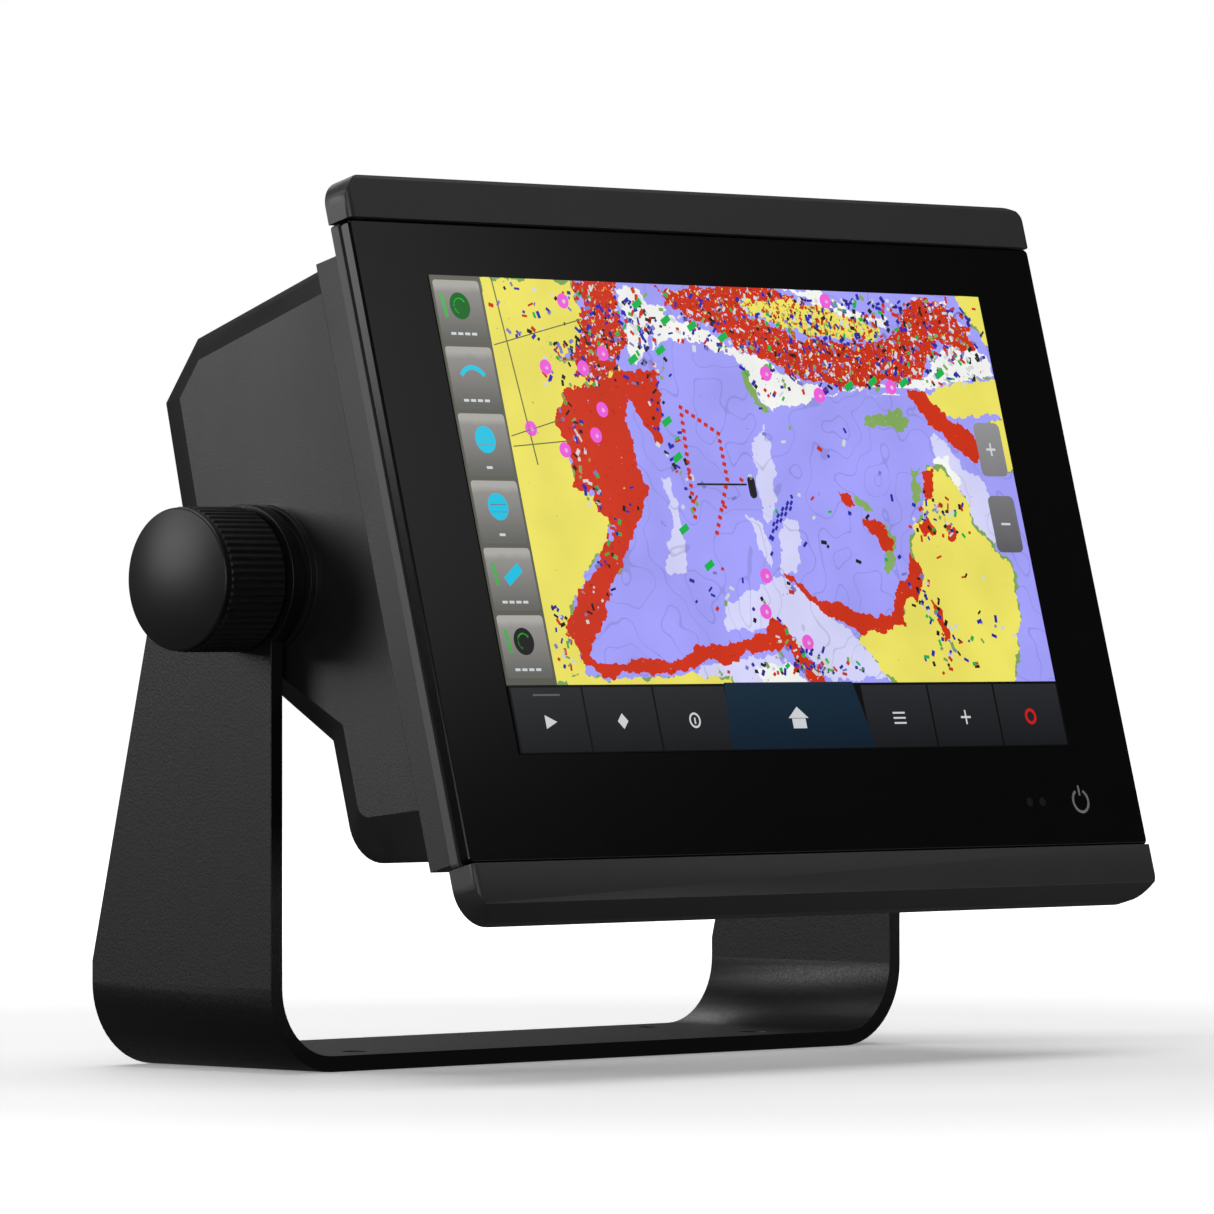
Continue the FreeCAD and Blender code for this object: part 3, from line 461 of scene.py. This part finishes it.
WHITES = [
    [(-27, 43), (-22, 43), (-18, 40), (-14, 39), (-19, 35), (-22, 31), (-25, 28), (-26.5, 32), (-26, 37)],
    [(-18, 40), (-9, 37), (0, 33), (5, 31), (4, 29), (-6, 33), (-10, 33.5), (-16, 33), (-20.5, 31)],
    [(5, 31), (12, 29), (18, 26), (23, 25), (26, 23), (18, 21), (10, 19.5), (7, 22), (4.5, 26)],
    [(42, 25.5), (55, 26.5), (62, 33), (72, 34), (75, 32), (76, 28), (64, 26.5), (55, 25), (50, 24),
     (26, 23.5)],
    [(17, 44), (28, 44), (38, 40), (48, 39), (46, 37), (35, 39), (27, 41.5)],
    [(62, 42), (66, 43), (66, 39), (63, 39)],
    [(53, 10), (58, 11), (60, 6), (59, 4), (56, 7)],
    [(-8, -30.5), (0, -30), (5, -34), (-7, -34)],
]
MARSHES = [
    [(36, 19), (42, 19.5), (46, 21), (48.5, 18), (46, 16), (35, 17)],
    [(46, 9), (49, 9), (47, 2), (45, 1)],
    [(35.5, -2), (38, -5), (36, -11), (33, -13), (34.5, -7)],
    [(4, 28), (6.5, 22), (9, 19.5), (6.5, 20), (3.5, 24)],
    [(28, 3), (31, 2), (33, 0), (29, 1)],
]
LANDS = [
    [(-63, 44), (-39, 44), (-38, 37), (-40, 31), (-46, 28), (-34, 30), (-30, 26), (-34, 20), (-46, 18),
     (-48, 11), (-47, 4), (-41, 1), (-41, -3), (-47, -10), (-54, -17), (-57, -24), (-55, -32), (-63, -34)],
    [(51, 9), (55, 9), (60, 3), (62, -4), (66, -8), (69.5, -10), (69.5, -18), (67, -26), (64, -34),
     (31, -34), (22, -25), (28, -23), (35, -22), (37, -16), (41, -16), (42, -6), (46, -2), (49, 3)],
    [(54, 24.5), (76, 27), (76, 19), (67, 20), (62, 19), (56, 21)],
    [(72, 18), (76, 19), (76, 9), (72, 9), (67, 11)],
    [(69, 44), (76, 44), (76, 34), (73, 38)],
    [(-60, -32), (-40, -33), (-16, -32.5), (-16, -34), (-60, -34)],
]
SHOALS = [
    [(-31, 27), (-20.5, 27), (-20.5, 21), (-22, 13), (-24, 12.5), (-28, 19), (-30, 22.5), (-31.5, 17),
     (-30.5, 12), (-31, 8), (-28.8, 3), (-31.5, -1), (-38, -8.5), (-45, -18), (-53, -28.5), (-49, -30),
     (-35, -29), (-18, -26.5), (-4, -24.5), (-1.5, -21), (1.5, -22.5), (5, -28), (10, -34), (6, -34),
     (2, -27.5), (-4, -27.5), (-18, -30), (-35, -32), (-49, -32.5), (-55, -30), (-58, -23), (-53, -17),
     (-45, -10), (-39, -4), (-43.5, -1), (-43.5, 3.5), (-49, 4), (-48, 11), (-50, 17), (-47, 22),
     (-38, 24.5)],
    [(49.5, 24.5), (54, 24.5), (61, 18), (66, 16), (68, 11.5), (66, 10), (60, 13), (52, 20)],
    [(4, -12.5), (9, -15), (15, -18), (22, -20), (32, -21), (35, -16), (38, -14), (40, -11), (41, -8),
     (43, -10), (42, -16), (37, -18), (36, -23), (30, -23.5), (22, -24), (16, -21), (10, -18)],
    [(24, 4), (27.5, 3), (28, 1), (25, 1.5)],
    [(29.5, -1.5), (34, -2), (37, -6), (36, -8), (33, -7), (30.5, -4)],
    [(49, 8), (53, 9), (51, 4), (48.5, 2)],
    [(44.5, -2), (48, -1), (50, -4), (46, -5)],
    [(53, -1), (56, -4), (54, -6)],
    [(45, -18), (48, -24), (46, -26)],
]
BUSY_SHOALS = [
    [(-39, 44), (-26.5, 44), (-27.5, 37), (-26.5, 32), (-31, 27), (-38, 24.5), (-42, 25), (-41, 31),
     (-38, 34), (-36, 39)],
    [(-17, 44), (17, 44), (22, 41.5), (12, 40), (6, 41), (8, 38), (17, 35.5), (31, 34), (43, 34), (52, 38),
     (58, 37), (57, 31), (55, 27), (42, 25.5), (23, 25.5), (18, 27), (12, 29.5), (5, 31), (0, 34), (-6, 37),
     (-13, 40)],
    [(51, 40), (56, 43), (66, 42), (72, 33), (66, 33), (62, 35), (57, 31)],
]
ISLES = [[(6, 41.5), (18, 42), (32, 40), (45, 37), (42, 34), (27, 35), (18, 36), (9, 38.5)]]

# Where small symbols crowd: two ends (x, z), a half width, and how many.
CROWDS = [
    ((-24, 42), (-20, 27), 4, 90), ((-14, 38), (44, 36), 7, 330), ((42, 37), (72, 37), 7, 240),
    ((-48, 27), (-28, 29), 5, 90), ((46, -3), (58, -1), 4, 50), ((0, -27), (12, -33), 3, 60),
    ((40, -14), (50, -30), 4, 50), ((-46, 20), (-44, 0), 3, 50), ((-60, -20), (-60, -32), 3, 40),
    ((6, 25), (74, 29), 3, 150), ((-22, 25), (-18, 0), 3, 40), ((-10, 12), (60, -10), 14, 40),
    ((-50, -20), (-34, 2), 3, 40), ((-20, -32), (20, -32), 2, 80), ((-58, 40), (-44, 34), 6, 36),
    ((36, -34), (66, -20), 5, 26), ((-38, 40), (-30, 36), 5, 60), ((-20, -14), (10, -20), 5, 20),
]
SMALLEST_RUN = 0.55               # a shore's runs longer than this are split
RAGGED = 0.3                      # a split's middle moves aside by up to this share of its run,
DEEPEST_BAY = 0.8                 # and never by more than this
SHORE = 0.6                       # width of the olive rim round the land


def in_picture(spot):
    """Whether a spot lies on the chart's part of the picture."""
    return TILE_EDGE < spot.x < PICTURE_HALF and MENU_TOP < spot.y < PICTURE_TOP


def coast(corners, seed):
    """A ragged closed shore: every run is split again and again, each middle pushed to one side."""
    dice = random.Random(seed)
    shore = [Vector(corner) for corner in corners]
    splitting = True
    while splitting:
        splitting = False
        finer = []
        for start, end in zip(shore, shore[1:] + shore[:1]):
            finer.append(start)
            run = end - start
            if run.length > SMALLEST_RUN and (in_picture(start) or in_picture(end)):
                reach = min(run.length * RAGGED, DEEPEST_BAY)
                aside = Vector((-run.y, run.x)).normalized() * dice.uniform(-reach, reach)
                finer.append((start + end) / 2 + aside)
                splitting = splitting or run.length > 2 * SMALLEST_RUN
        shore = finer
    held = [(min(max(x, TILE_EDGE), PICTURE_HALF), min(max(z, MENU_TOP), PICTURE_TOP)) for x, z in shore]
    return [spot for index, spot in enumerate(held) if spot != held[index - 1]]


def wider(corners, margin):
    """The same outline with every corner moved out from its middle."""
    spots = [Vector(corner) for corner in corners]
    middle = sum(spots, Vector((0, 0))) / len(spots)
    return [tuple(spot + (spot - middle).normalized() * margin) for spot in spots]


def ground(name, colour, specks=(), contours=0.0):
    """One kind of ground: slow drift in tone, ragged specks and depth lines.

    Each speck is (colour, the least noise that shows it). Contours is the depth lines' darkness.
    """
    g = Graph(name)
    flat = g.vector("MULTIPLY", g.place, (1 / MM, 0.0, 1 / MM))
    tone = g.mix(g.span(g.noise(flat, 0.06, 2.0), 0.35, 0.65), tinted(colour, 0.94), tinted(colour, 1.05))
    for index, (speck_colour, least) in enumerate(specks):
        shifted = g.vector("ADD", flat, (9.3 * index, 0.0, -7.1 * index))
        tone = g.mix(g.span(g.noise(shifted, 0.8, 2.0, 0.7), least, least + 0.025), tone, speck_colour)
    if contours:
        level = g.math("FRACT", g.math("MULTIPLY", g.noise(flat, 0.045, 2.0, 0.55), 11.0))
        line = g.span(g.math("ABSOLUTE", g.math("SUBTRACT", level, 0.5)), 0.02, 0.045, contours, 0.0)
        tone = g.mix(line, tone, tinted(colour, 0.4))
    return screen_shader(g, tone)


def chart():
    """The chart's ground, one thin layer per kind, with the deep water lowest."""
    dark_red = tinted(RED, 0.7)
    busy = [(PALE, 0.6), (YELLOW, 0.63), (INK, 0.64), (dark_red, 0.6), (NAVY, 0.68), (OLIVE, 0.66)]
    layers = [
        ("chart_shallows", PALES, ground("chart_pale", PALE, [(NAVY, 0.7)], 0.35)),
        ("chart_bright", WHITES, ground("chart_white", WHITE, [(NAVY, 0.66), (GREEN, 0.7), (RED, 0.69)])),
        ("chart_marsh", MARSHES, ground("chart_olive", OLIVE, [(YELLOW, 0.68)])),
        ("chart_shore", [wider(land, SHORE) for land in LANDS], ground("chart_rim", tinted(OLIVE, 0.9))),
        ("chart_land", LANDS, ground("chart_yellow", YELLOW, [(OLIVE, 0.72), (dark_red, 0.73)])),
        ("chart_shoals", SHOALS, ground("chart_red", RED, [(PALE, 0.7), (YELLOW, 0.72), (dark_red, 0.64)])),
        ("chart_busy_shoals", BUSY_SHOALS, ground("chart_busy_red", RED, busy)),
        ("chart_isles", ISLES, ground("chart_isle", YELLOW, [(RED, 0.56), (OLIVE, 0.6), (INK, 0.64)])),
    ]
    water = rounded_rectangle(TILE_EDGE - 0.5, PICTURE_HALF, MENU_TOP - 0.3, PICTURE_TOP, 0)
    lavender = ground("chart_lavender", WATER, [(NAVY, 0.735)], 0.3)
    print_piece("chart_water", [(water, lavender)], IMAGE_PROUD)
    for layer, (name, outlines, material) in enumerate(layers, start=1):
        seeds = range(10 * layer, 10 * layer + len(outlines))
        shapes = [(coast(corners, seed), material) for corners, seed in zip(outlines, seeds)]
        print_piece(name, shapes, IMAGE_PROUD + layer * LAYER)


def chart_symbols():
    """Soundings and rocks: small crooked dashes, crowded where the water is busy."""
    dice = random.Random(5)
    shares = [(mark_navy, 8), (ink_dark, 5), (ink_white, 5), (mark_red, 6), (mark_green, 2),
              (mark_olive, 2), (mark_blue, 3)]
    bag = [ink for ink, share in shares for _ in range(share)]
    longest = 1.5                 # and no dash starts nearer to the chart's edge than this
    shapes = []
    for start, end, half, count in CROWDS:
        for _ in range(count):
            place = Vector(start).lerp(Vector(end), dice.random())
            x = place.x + dice.uniform(-half, half)
            z = place.y + dice.uniform(-half, half)
            length = dice.uniform(0.5, longest)
            turn = dice.uniform(0, math.pi)
            inside = TILE_EDGE + longest < x < PICTURE_HALF - longest
            if inside and MENU_TOP + longest < z < PICTURE_TOP - longest:
                far_x = x + length * math.cos(turn)
                far_z = z + length * math.sin(turn)
                shapes.append((stroke(x, z, far_x, far_z, dice.uniform(0.35, 0.8)), dice.choice(bag)))
    print_piece("chart_symbols", shapes, IMAGE_PROUD + SOUNDING_LAYER * LAYER)


LIT_BEACONS = [(-42, 40), (-34, 30), (-40, 27), (-50, 27), (-37, 19), (-57, 15), (-40, 14), (-49, 11),
               (31, 42), (10, 27), (24, 23), (45, 25), (-1, -13), (-3, -20), (7, -26)]
BUOYS = [(-22, 40), (-15, 37), (-8, 36), (0, 34), (-18, 31), (-26, 29), (-20, 17), (-19, 10),
         (-21, -4), (-16, -11), (33, 25), (40, 26), (49, 26), (60, 28)]
DOTTED_ROUTES = [                 # each leg's two ends and how many dots
    ((-15.5, 20), (-17.5, -3), 15), ((-15.5, 20), (-6.5, 15), 6), ((-6.5, 15), (-6.5, 6), 6),
    ((-6.5, 6), (-13, -6), 8),
]
ROADS = [(-62.5, 31, -38, 36.5), (-62.5, 13.5, -48, 17), (-62.5, 11.5, -47, 12.8), (-60, 44, -57, 8)]


def chart_marks():
    """Lights, buoys, dotted routes, the boat with its heading line, and roads, over the chart."""
    shapes = []
    for x, z in LIT_BEACONS:
        shapes.append((circle(x, z, 1.5, 14), mark_magenta))
        shapes.append((circle(x + 0.2, z - 0.1, 0.45, 8), ink_white))
    for x, z in BUOYS:
        shapes.append((stroke(x - 1.1, z - 0.6, x + 1.1, z + 0.6, 1.3), mark_green))
    for first, last, count in DOTTED_ROUTES:
        for step in range(count):
            share = step / count
            x = first[0] + (last[0] - first[0]) * share
            z = first[1] + (last[1] - first[1]) * share
            shapes.append((stroke(x - 0.4, z, x + 0.4, z - 0.3, 0.7), mark_red))
    track_dots = 16
    for step in range(track_dots):
        x = 1.5 + 0.55 * step
        z = -9 + 10 * (step / (track_dots - 1)) ** 0.5 + 0.8 * math.sin(2.1 * step)
        shapes.append((stroke(x, z, x + 0.6, z + 0.7, 0.5), mark_navy))
    boat = rounded_rectangle(-0.9, 0.9, 2.2, 6.6, 0.9, 4)
    shapes.append((boat, ink_dark))
    shapes.append((circle(0, 6.4, 0.55, 10), ink_white))
    heading = stroke(-15, 4.8, -1.5, 4.9, 0.35)
    shapes.append((heading, ink_dark))
    for ends in ROADS:
        shapes.append((stroke(*ends, 0.22), road))
    print_piece("chart_marks", shapes, IMAGE_PROUD + MARK_LAYER * LAYER)


# ---- tiles, menu and keys ------------------------------------------------------------------------
TILE_COUNT = 6                    # numbered below from the top, starting at 0
TILE_PITCH = 12.8
TILE_GAP = 0.9
TILE_LEFT = -PICTURE_HALF + 0.3
TILE_RIGHT = TILE_EDGE - 0.6
TILE_FOOT = PICTURE_TOP - 0.9 - TILE_COUNT * TILE_PITCH + TILE_GAP
ARCH_TILE = 1                     # has a blue arch in place of a dial
NEEDLE_TILE = 4                   # has a blue needle in place of a dial
LINED_TILES = (2, 3)              # have two lines across a blue dial, and one short bar of reading
SLANTED_TILES = (0, 4, 5)         # have two slanted green lines beside the dial
RINGED_TILES = (0, 5)             # have an open green ring on the dial


def tile_material():
    """Grey tiles, each lighter at its head and darker at its foot."""
    g = Graph("tile_grey")
    above_foot = g.math("SUBTRACT", g.height_mm(), TILE_FOOT - 0.65)
    rise = g.math("FRACT", g.math("DIVIDE", above_foot, TILE_PITCH))
    grain = g.math("MULTIPLY", g.math("SUBTRACT", g.noise(g.place, 400.0, 2.0), 0.5), 0.06)
    tone = g.math("ADD", rise, grain, clamp=True)
    colour = g.mix(g.span(tone, 0.1, 0.8), (0.13, 0.13, 0.118), (0.29, 0.28, 0.265))
    return screen_shader(g, g.mix(g.span(tone, 0.8, 0.9), colour, (0.42, 0.41, 0.38)))


def dial_shapes(index, middle, dial_z, foot):
    """What is drawn on one tile: its dial or sign, and the bars that stand for its reading."""
    faces = {0: globe_green, 2: ink_cyan, 3: ink_cyan, 5: ink_dark}
    shapes = []
    if index in faces:
        shapes.append((circle(middle, dial_z, 2.6), faces[index]))
    if index in LINED_TILES:
        for line in (-1.0, 0.4):
            z = dial_z + line
            shapes.append((stroke(middle - 2.1, z, middle + 2.1, z, 0.25), zoom_grey))
    if index == ARCH_TILE:
        shapes.append((arc_band(middle, dial_z - 2.6, 3.6, 0.9, 35, 145), ink_cyan))
    if index == NEEDLE_TILE:
        shapes.append((stroke(middle - 1.4, dial_z - 1.5, middle + 2.6, dial_z + 1.3, 2.0), ink_cyan))
    if index in SLANTED_TILES:
        for step in range(2):
            shapes.append((stroke(TILE_LEFT + 1.9 + 0.5 * step, dial_z - 2.2,
                                  TILE_LEFT + 1.4 + 0.5 * step, dial_z + 2.2, 0.3), ink_green))
    if index in RINGED_TILES:
        shapes.append((arc_band(middle, dial_z, 1.5, 0.3, 30, 250), ink_green))
    half_width, bars = (1.0, 1) if index in LINED_TILES else (3.6, 4)
    for bar in range(bars):
        x0 = middle - half_width + 2 * half_width * bar / bars
        x1 = x0 + 2 * half_width / bars - 0.5
        shapes.append((stroke(x0, foot + 1.6, x1, foot + 1.6, 0.5), ink_white))
    return shapes


def tiles():
    """The column of instrument tiles: a grey plate each, and its dial over it."""
    grey = tile_material()
    middle = (TILE_LEFT + TILE_RIGHT) / 2
    for index in range(TILE_COUNT):
        foot = TILE_FOOT + (TILE_COUNT - 1 - index) * TILE_PITCH
        head = foot + TILE_PITCH - TILE_GAP
        dial_z = (foot + head) / 2 + 1.0
        name = "tile_%d" % (index + 1)
        plate = rounded_rectangle(TILE_LEFT, TILE_RIGHT, foot, head, 0.7, 4)
        print_piece(name, [(plate, grey)], IMAGE_PROUD + TILE_LAYER * LAYER)
        dial = dial_shapes(index, middle, dial_z, foot)
        print_piece(name + "_dial", dial, IMAGE_PROUD + SIGN_LAYER * LAYER)


KEY_EDGES = [-75.8, -57.0, -38.2, -18.5, 19.0, 38.0, 57.0, 75.8]
HOME_KEY = 3                      # the wide centre key, drawn as a piece of its own


def menu():
    """The bar of menu keys under the chart, with a wide centre key, each with a plain symbol."""
    base = PICTURE_BOTTOM
    bar = rounded_rectangle(-PICTURE_HALF, PICTURE_HALF, base, MENU_TOP, 0)
    print_piece("menu_ground", [(bar, menu_gap)], IMAGE_PROUD + MARK_LAYER * LAYER)
    keys = []
    for index, (left, right) in enumerate(zip(KEY_EDGES, KEY_EDGES[1:])):
        if index != HOME_KEY:
            key = rounded_rectangle(left + 0.25, right - 0.25, base + 0.2, MENU_TOP - 0.5, 0)
            keys.append((key, menu_dark))
    print_piece("menu_keys", keys, IMAGE_PROUD + KEY_LAYER * LAYER)
    home = [(-19.8, base + 0.2), (20.4, base + 0.2), (17.0, MENU_TOP + 0.2), (-18.4, MENU_TOP + 0.2)]
    print_piece("home_key", [(home, menu_home)], IMAGE_PROUD + TILE_LAYER * LAYER)

    line = base + 5.9
    flag_x, diamond_x, clock_x, list_x, plus_x, ring_x = -68.0, -47.6, -28.3, 26.8, 47.5, 66.4
    glyphs = [(stroke(-70.0, MENU_TOP - 1.9, -63.0, MENU_TOP - 1.9, 0.35), zoom_grey)]
    flag = [(flag_x, line - 1.3), (flag_x + 3.0, line), (flag_x, line + 1.3)]
    glyphs.append((flag, ink_white))
    diamond = [(diamond_x, line - 1.5), (diamond_x + 1.4, line), (diamond_x, line + 1.5),
               (diamond_x - 1.4, line)]
    glyphs.append((diamond, ink_white))
    glyphs.append((arc_band(clock_x, line, 1.3, 0.4, 0, 180), ink_white))
    glyphs.append((arc_band(clock_x, line, 1.3, 0.4, 180, 360), ink_white))
    glyphs.append((stroke(clock_x, line - 0.7, clock_x, line + 0.5, 0.4), ink_white))
    for step in range(3):
        z = line - 1.0 + step
        glyphs.append((stroke(list_x, z, list_x + 3.4, z, 0.35), ink_white))
    glyphs.append((stroke(plus_x, line - 1.4, plus_x, line + 1.4, 0.4), ink_white))
    glyphs.append((stroke(plus_x - 1.4, line, plus_x + 1.4, line, 0.4), ink_white))
    glyphs.append((arc_band(ring_x, line, 1.3, 0.6, 0, 180), ink_red))
    glyphs.append((arc_band(ring_x, line, 1.3, 0.6, 180, 360), ink_red))
    print_piece("menu_symbols", glyphs, IMAGE_PROUD + TILE_LAYER * LAYER)
    roof = [(-2.6, line + 0.2), (2.9, line + 0.2), (0.15, line + 2.4)]
    walls = [(-1.7, line - 1.8), (2.0, line - 1.8), (2.0, line + 0.1), (-1.7, line + 0.1)]
    print_piece("home_symbol", [(roof, ink_white), (walls, ink_white)], IMAGE_PROUD + SIGN_LAYER * LAYER)


def zoom_keys():
    """Two keys at the chart's right edge, with a plus and a minus."""
    for name, low, high in (("zoom_in", 7.4, 18.2), ("zoom_out", -8.0, 3.4)):
        plate = rounded_rectangle(66.8, 74.2, low, high, 1.3)
        print_piece(name + "_key", [(plate, zoom_grey)], IMAGE_PROUD + KEY_LAYER * LAYER)
        middle = (low + high) / 2
        sign = [(stroke(69.2, middle, 71.8, middle, 0.45), ink_white)]
        if name == "zoom_in":
            sign.append((stroke(70.5, middle - 1.3, 70.5, middle - 0.23, 0.45), ink_white))
            sign.append((stroke(70.5, middle + 0.23, 70.5, middle + 1.3, 0.45), ink_white))
        print_piece(name + "_sign", sign, IMAGE_PROUD + TILE_LAYER * LAYER)


def tile_ground():
    """The strip that shows between the tiles."""
    strip = rounded_rectangle(-PICTURE_HALF, TILE_EDGE, MENU_TOP, PICTURE_TOP, 0)
    print_piece("tile_ground", [(strip, tile_gap)], IMAGE_PROUD + KEY_LAYER * LAYER)


# ---- marks printed on the glass ------------------------------------------------------------------
MARKS_Z = -58.0                   # height of the power ring's and the sensor windows' middles
POWER_X = 76.5
SENSOR_XS = (61.5, 65.2)


def printed_marks():
    """The touch power ring and the two small sensor windows below the picture."""
    g = Graph("printed_grey")
    wear = g.noise(g.place, 900.0, 2.0)
    g.set(Base_Color=g.mix(g.spread(wear), (0.2, 0.2, 0.2), (0.28, 0.28, 0.28)), Roughness=0.4)
    ring = arc_band(POWER_X, MARKS_Z, 2.2, 0.55, 118, 422)
    bar = stroke(POWER_X, MARKS_Z + 1.1, POWER_X, MARKS_Z + 3.1, 0.5)
    print_piece("power_symbol", [(ring, g.material), (bar, g.material)], INK_PROUD)
    h = Graph("sensor_window")
    tint = h.noise(h.place, 700.0, 2.0)
    h.set(Base_Color=h.mix(tint, (0.012, 0.006, 0.008), (0.02, 0.01, 0.013)), Roughness=0.12)
    windows = [(circle(x, MARKS_Z, 0.9), h.material) for x in SENSOR_XS]
    print_piece("sensor_windows", windows, INK_PROUD)


chart()
chart_symbols()
tile_ground()
chart_marks()
tiles()
menu()
zoom_keys()
printed_marks()


# ---- floor, light and camera ---------------------------------------------------------------------
FLOOR_HALF = 30.0                 # in metres, as everything below
FLOOR_GLOW_NEAR = 0.22            # share of the floor's white that shadows can't darken, at the object
FLOOR_GLOW_FAR = 1.0              # and far from it
FLOOR_GLOW_START = 0.2            # distances from the middle between which it goes from one to the other
FLOOR_GLOW_END = 0.7
ROOM_FILL = 0.07                  # the even, dim light that reaches the object from all round
WHITE_LIGHT = (1.0, 1.0, 1.0, 1.0)
MIDDLE = (0.0, -0.02, 0.09)       # what most lights face
LIGHTS = [                        # name, place, target, width and height, power in watts
    ("key_left_rear", (-1.1, 0.9, 0.45), MIDDLE, (0.8, 0.6), 7.5),
    ("fill_left_front", (-1.5, -1.1, 0.25), MIDDLE, (0.8, 0.8), 9.0),
    ("sheen_right_front", (0.94, -1.24, 0.97), MIDDLE, (0.6, 0.6), 1.1),
    ("fill_rear", (0.7, 1.4, 1.0), MIDDLE, (0.8, 0.8), 3.0),
    ("floor_bounce", (0.2, -0.28, 0.003), (0.2, -0.28, 1.0), (0.4, 0.25), 0.45),
    ("overhead", (0.0, 0.1, 1.6), (0.0, 0.1, 0.0), (1.6, 1.6), 18.0),
]


def floor():
    """A white sheet with painted light: it glows weakly at the object, so the lamps' shadows show, and fully
    far off, so it stays white. It neither shows in the object's gloss nor lights it: a light stands in.
    """
    mesh = bpy.data.meshes.new("floor")
    corners = [(x * FLOOR_HALF, y * FLOOR_HALF, 0) for x, y in ((-1, -1), (1, -1), (1, 1), (-1, 1))]
    mesh.from_pydata(corners, [], [(0, 1, 2, 3)])
    piece = bpy.data.objects.new("floor", mesh)
    bpy.context.scene.collection.objects.link(piece)
    g = Graph("floor_white")
    cloud = g.noise(g.place, 2.0, 3.0)
    g.set(Base_Color=g.mix(cloud, (0.93, 0.93, 0.93), (0.95, 0.95, 0.95)))
    g.set(Roughness=0.6, Specular_IOR_Level=0.1)
    # painted light: the floor's own glow, weak at the object and full far from it
    distance = g.vector("LENGTH", g.place)
    glow = g.span(distance, FLOOR_GLOW_START, FLOOR_GLOW_END, FLOOR_GLOW_NEAR, FLOOR_GLOW_FAR)
    g.set(Emission_Color=WHITE_LIGHT, Emission_Strength=glow)
    mesh.materials.append(g.material)
    piece.visible_diffuse = False
    piece.visible_glossy = False


def area_light(name, place, target, size, power):
    """A soft box that faces its target and isn't seen itself."""
    data = bpy.data.lights.new(name, "AREA")
    data.shape = "RECTANGLE"
    data.size, data.size_y = size
    data.energy = power
    light = bpy.data.objects.new(name, data)
    light.location = place
    light.rotation_mode = "QUATERNION"
    light.rotation_quaternion = (Vector(target) - Vector(place)).to_track_quat("-Z", "Y")
    light.visible_camera = False
    bpy.context.scene.collection.objects.link(light)


def studio():
    """A white backdrop, a dim even fill and the soft boxes."""
    world = bpy.data.worlds.new("studio")
    world.use_nodes = True
    tree = world.node_tree
    fill = tree.nodes["Background"]
    fill.inputs["Color"].default_value = WHITE_LIGHT
    fill.inputs["Strength"].default_value = ROOM_FILL
    backdrop = tree.nodes.new("ShaderNodeBackground")
    backdrop.inputs["Color"].default_value = WHITE_LIGHT
    seen = tree.nodes.new("ShaderNodeLightPath")
    either = tree.nodes.new("ShaderNodeMixShader")
    tree.links.new(seen.outputs["Is Camera Ray"], either.inputs[0])
    tree.links.new(fill.outputs[0], either.inputs[1])
    tree.links.new(backdrop.outputs[0], either.inputs[2])
    tree.links.new(either.outputs[0], tree.nodes["World Output"].inputs["Surface"])
    bpy.context.scene.world = world
    for light in LIGHTS:
        area_light(*light)


CAMERA_TURN = math.radians(46.0)  # from straight in front, round towards the viewer's left
CAMERA_PLACE = PIVOT + Vector((-1.2063, -1.1755, -0.0077))
SENSOR_WIDTH = 36.0
FOCAL_LENGTH = 258.4
FRAME_RISE = 0.0115               # share of the image's width


def camera():
    """Level, long-lens camera near the tilt axis's height."""
    data = bpy.data.cameras.new("camera")
    data.sensor_width = SENSOR_WIDTH
    data.lens = FOCAL_LENGTH
    data.shift_y = FRAME_RISE
    data.clip_start, data.clip_end = 0.1, 100.0
    eye = bpy.data.objects.new("camera", data)
    eye.location = CAMERA_PLACE
    forward = Vector((math.sin(CAMERA_TURN), math.cos(CAMERA_TURN), 0.0))
    eye.rotation_mode = "QUATERNION"
    eye.rotation_quaternion = forward.to_track_quat("-Z", "Y")
    bpy.context.scene.collection.objects.link(eye)
    bpy.context.scene.camera = eye


floor()
studio()
camera()
bpy.context.scene.view_settings.view_transform = "Standard"
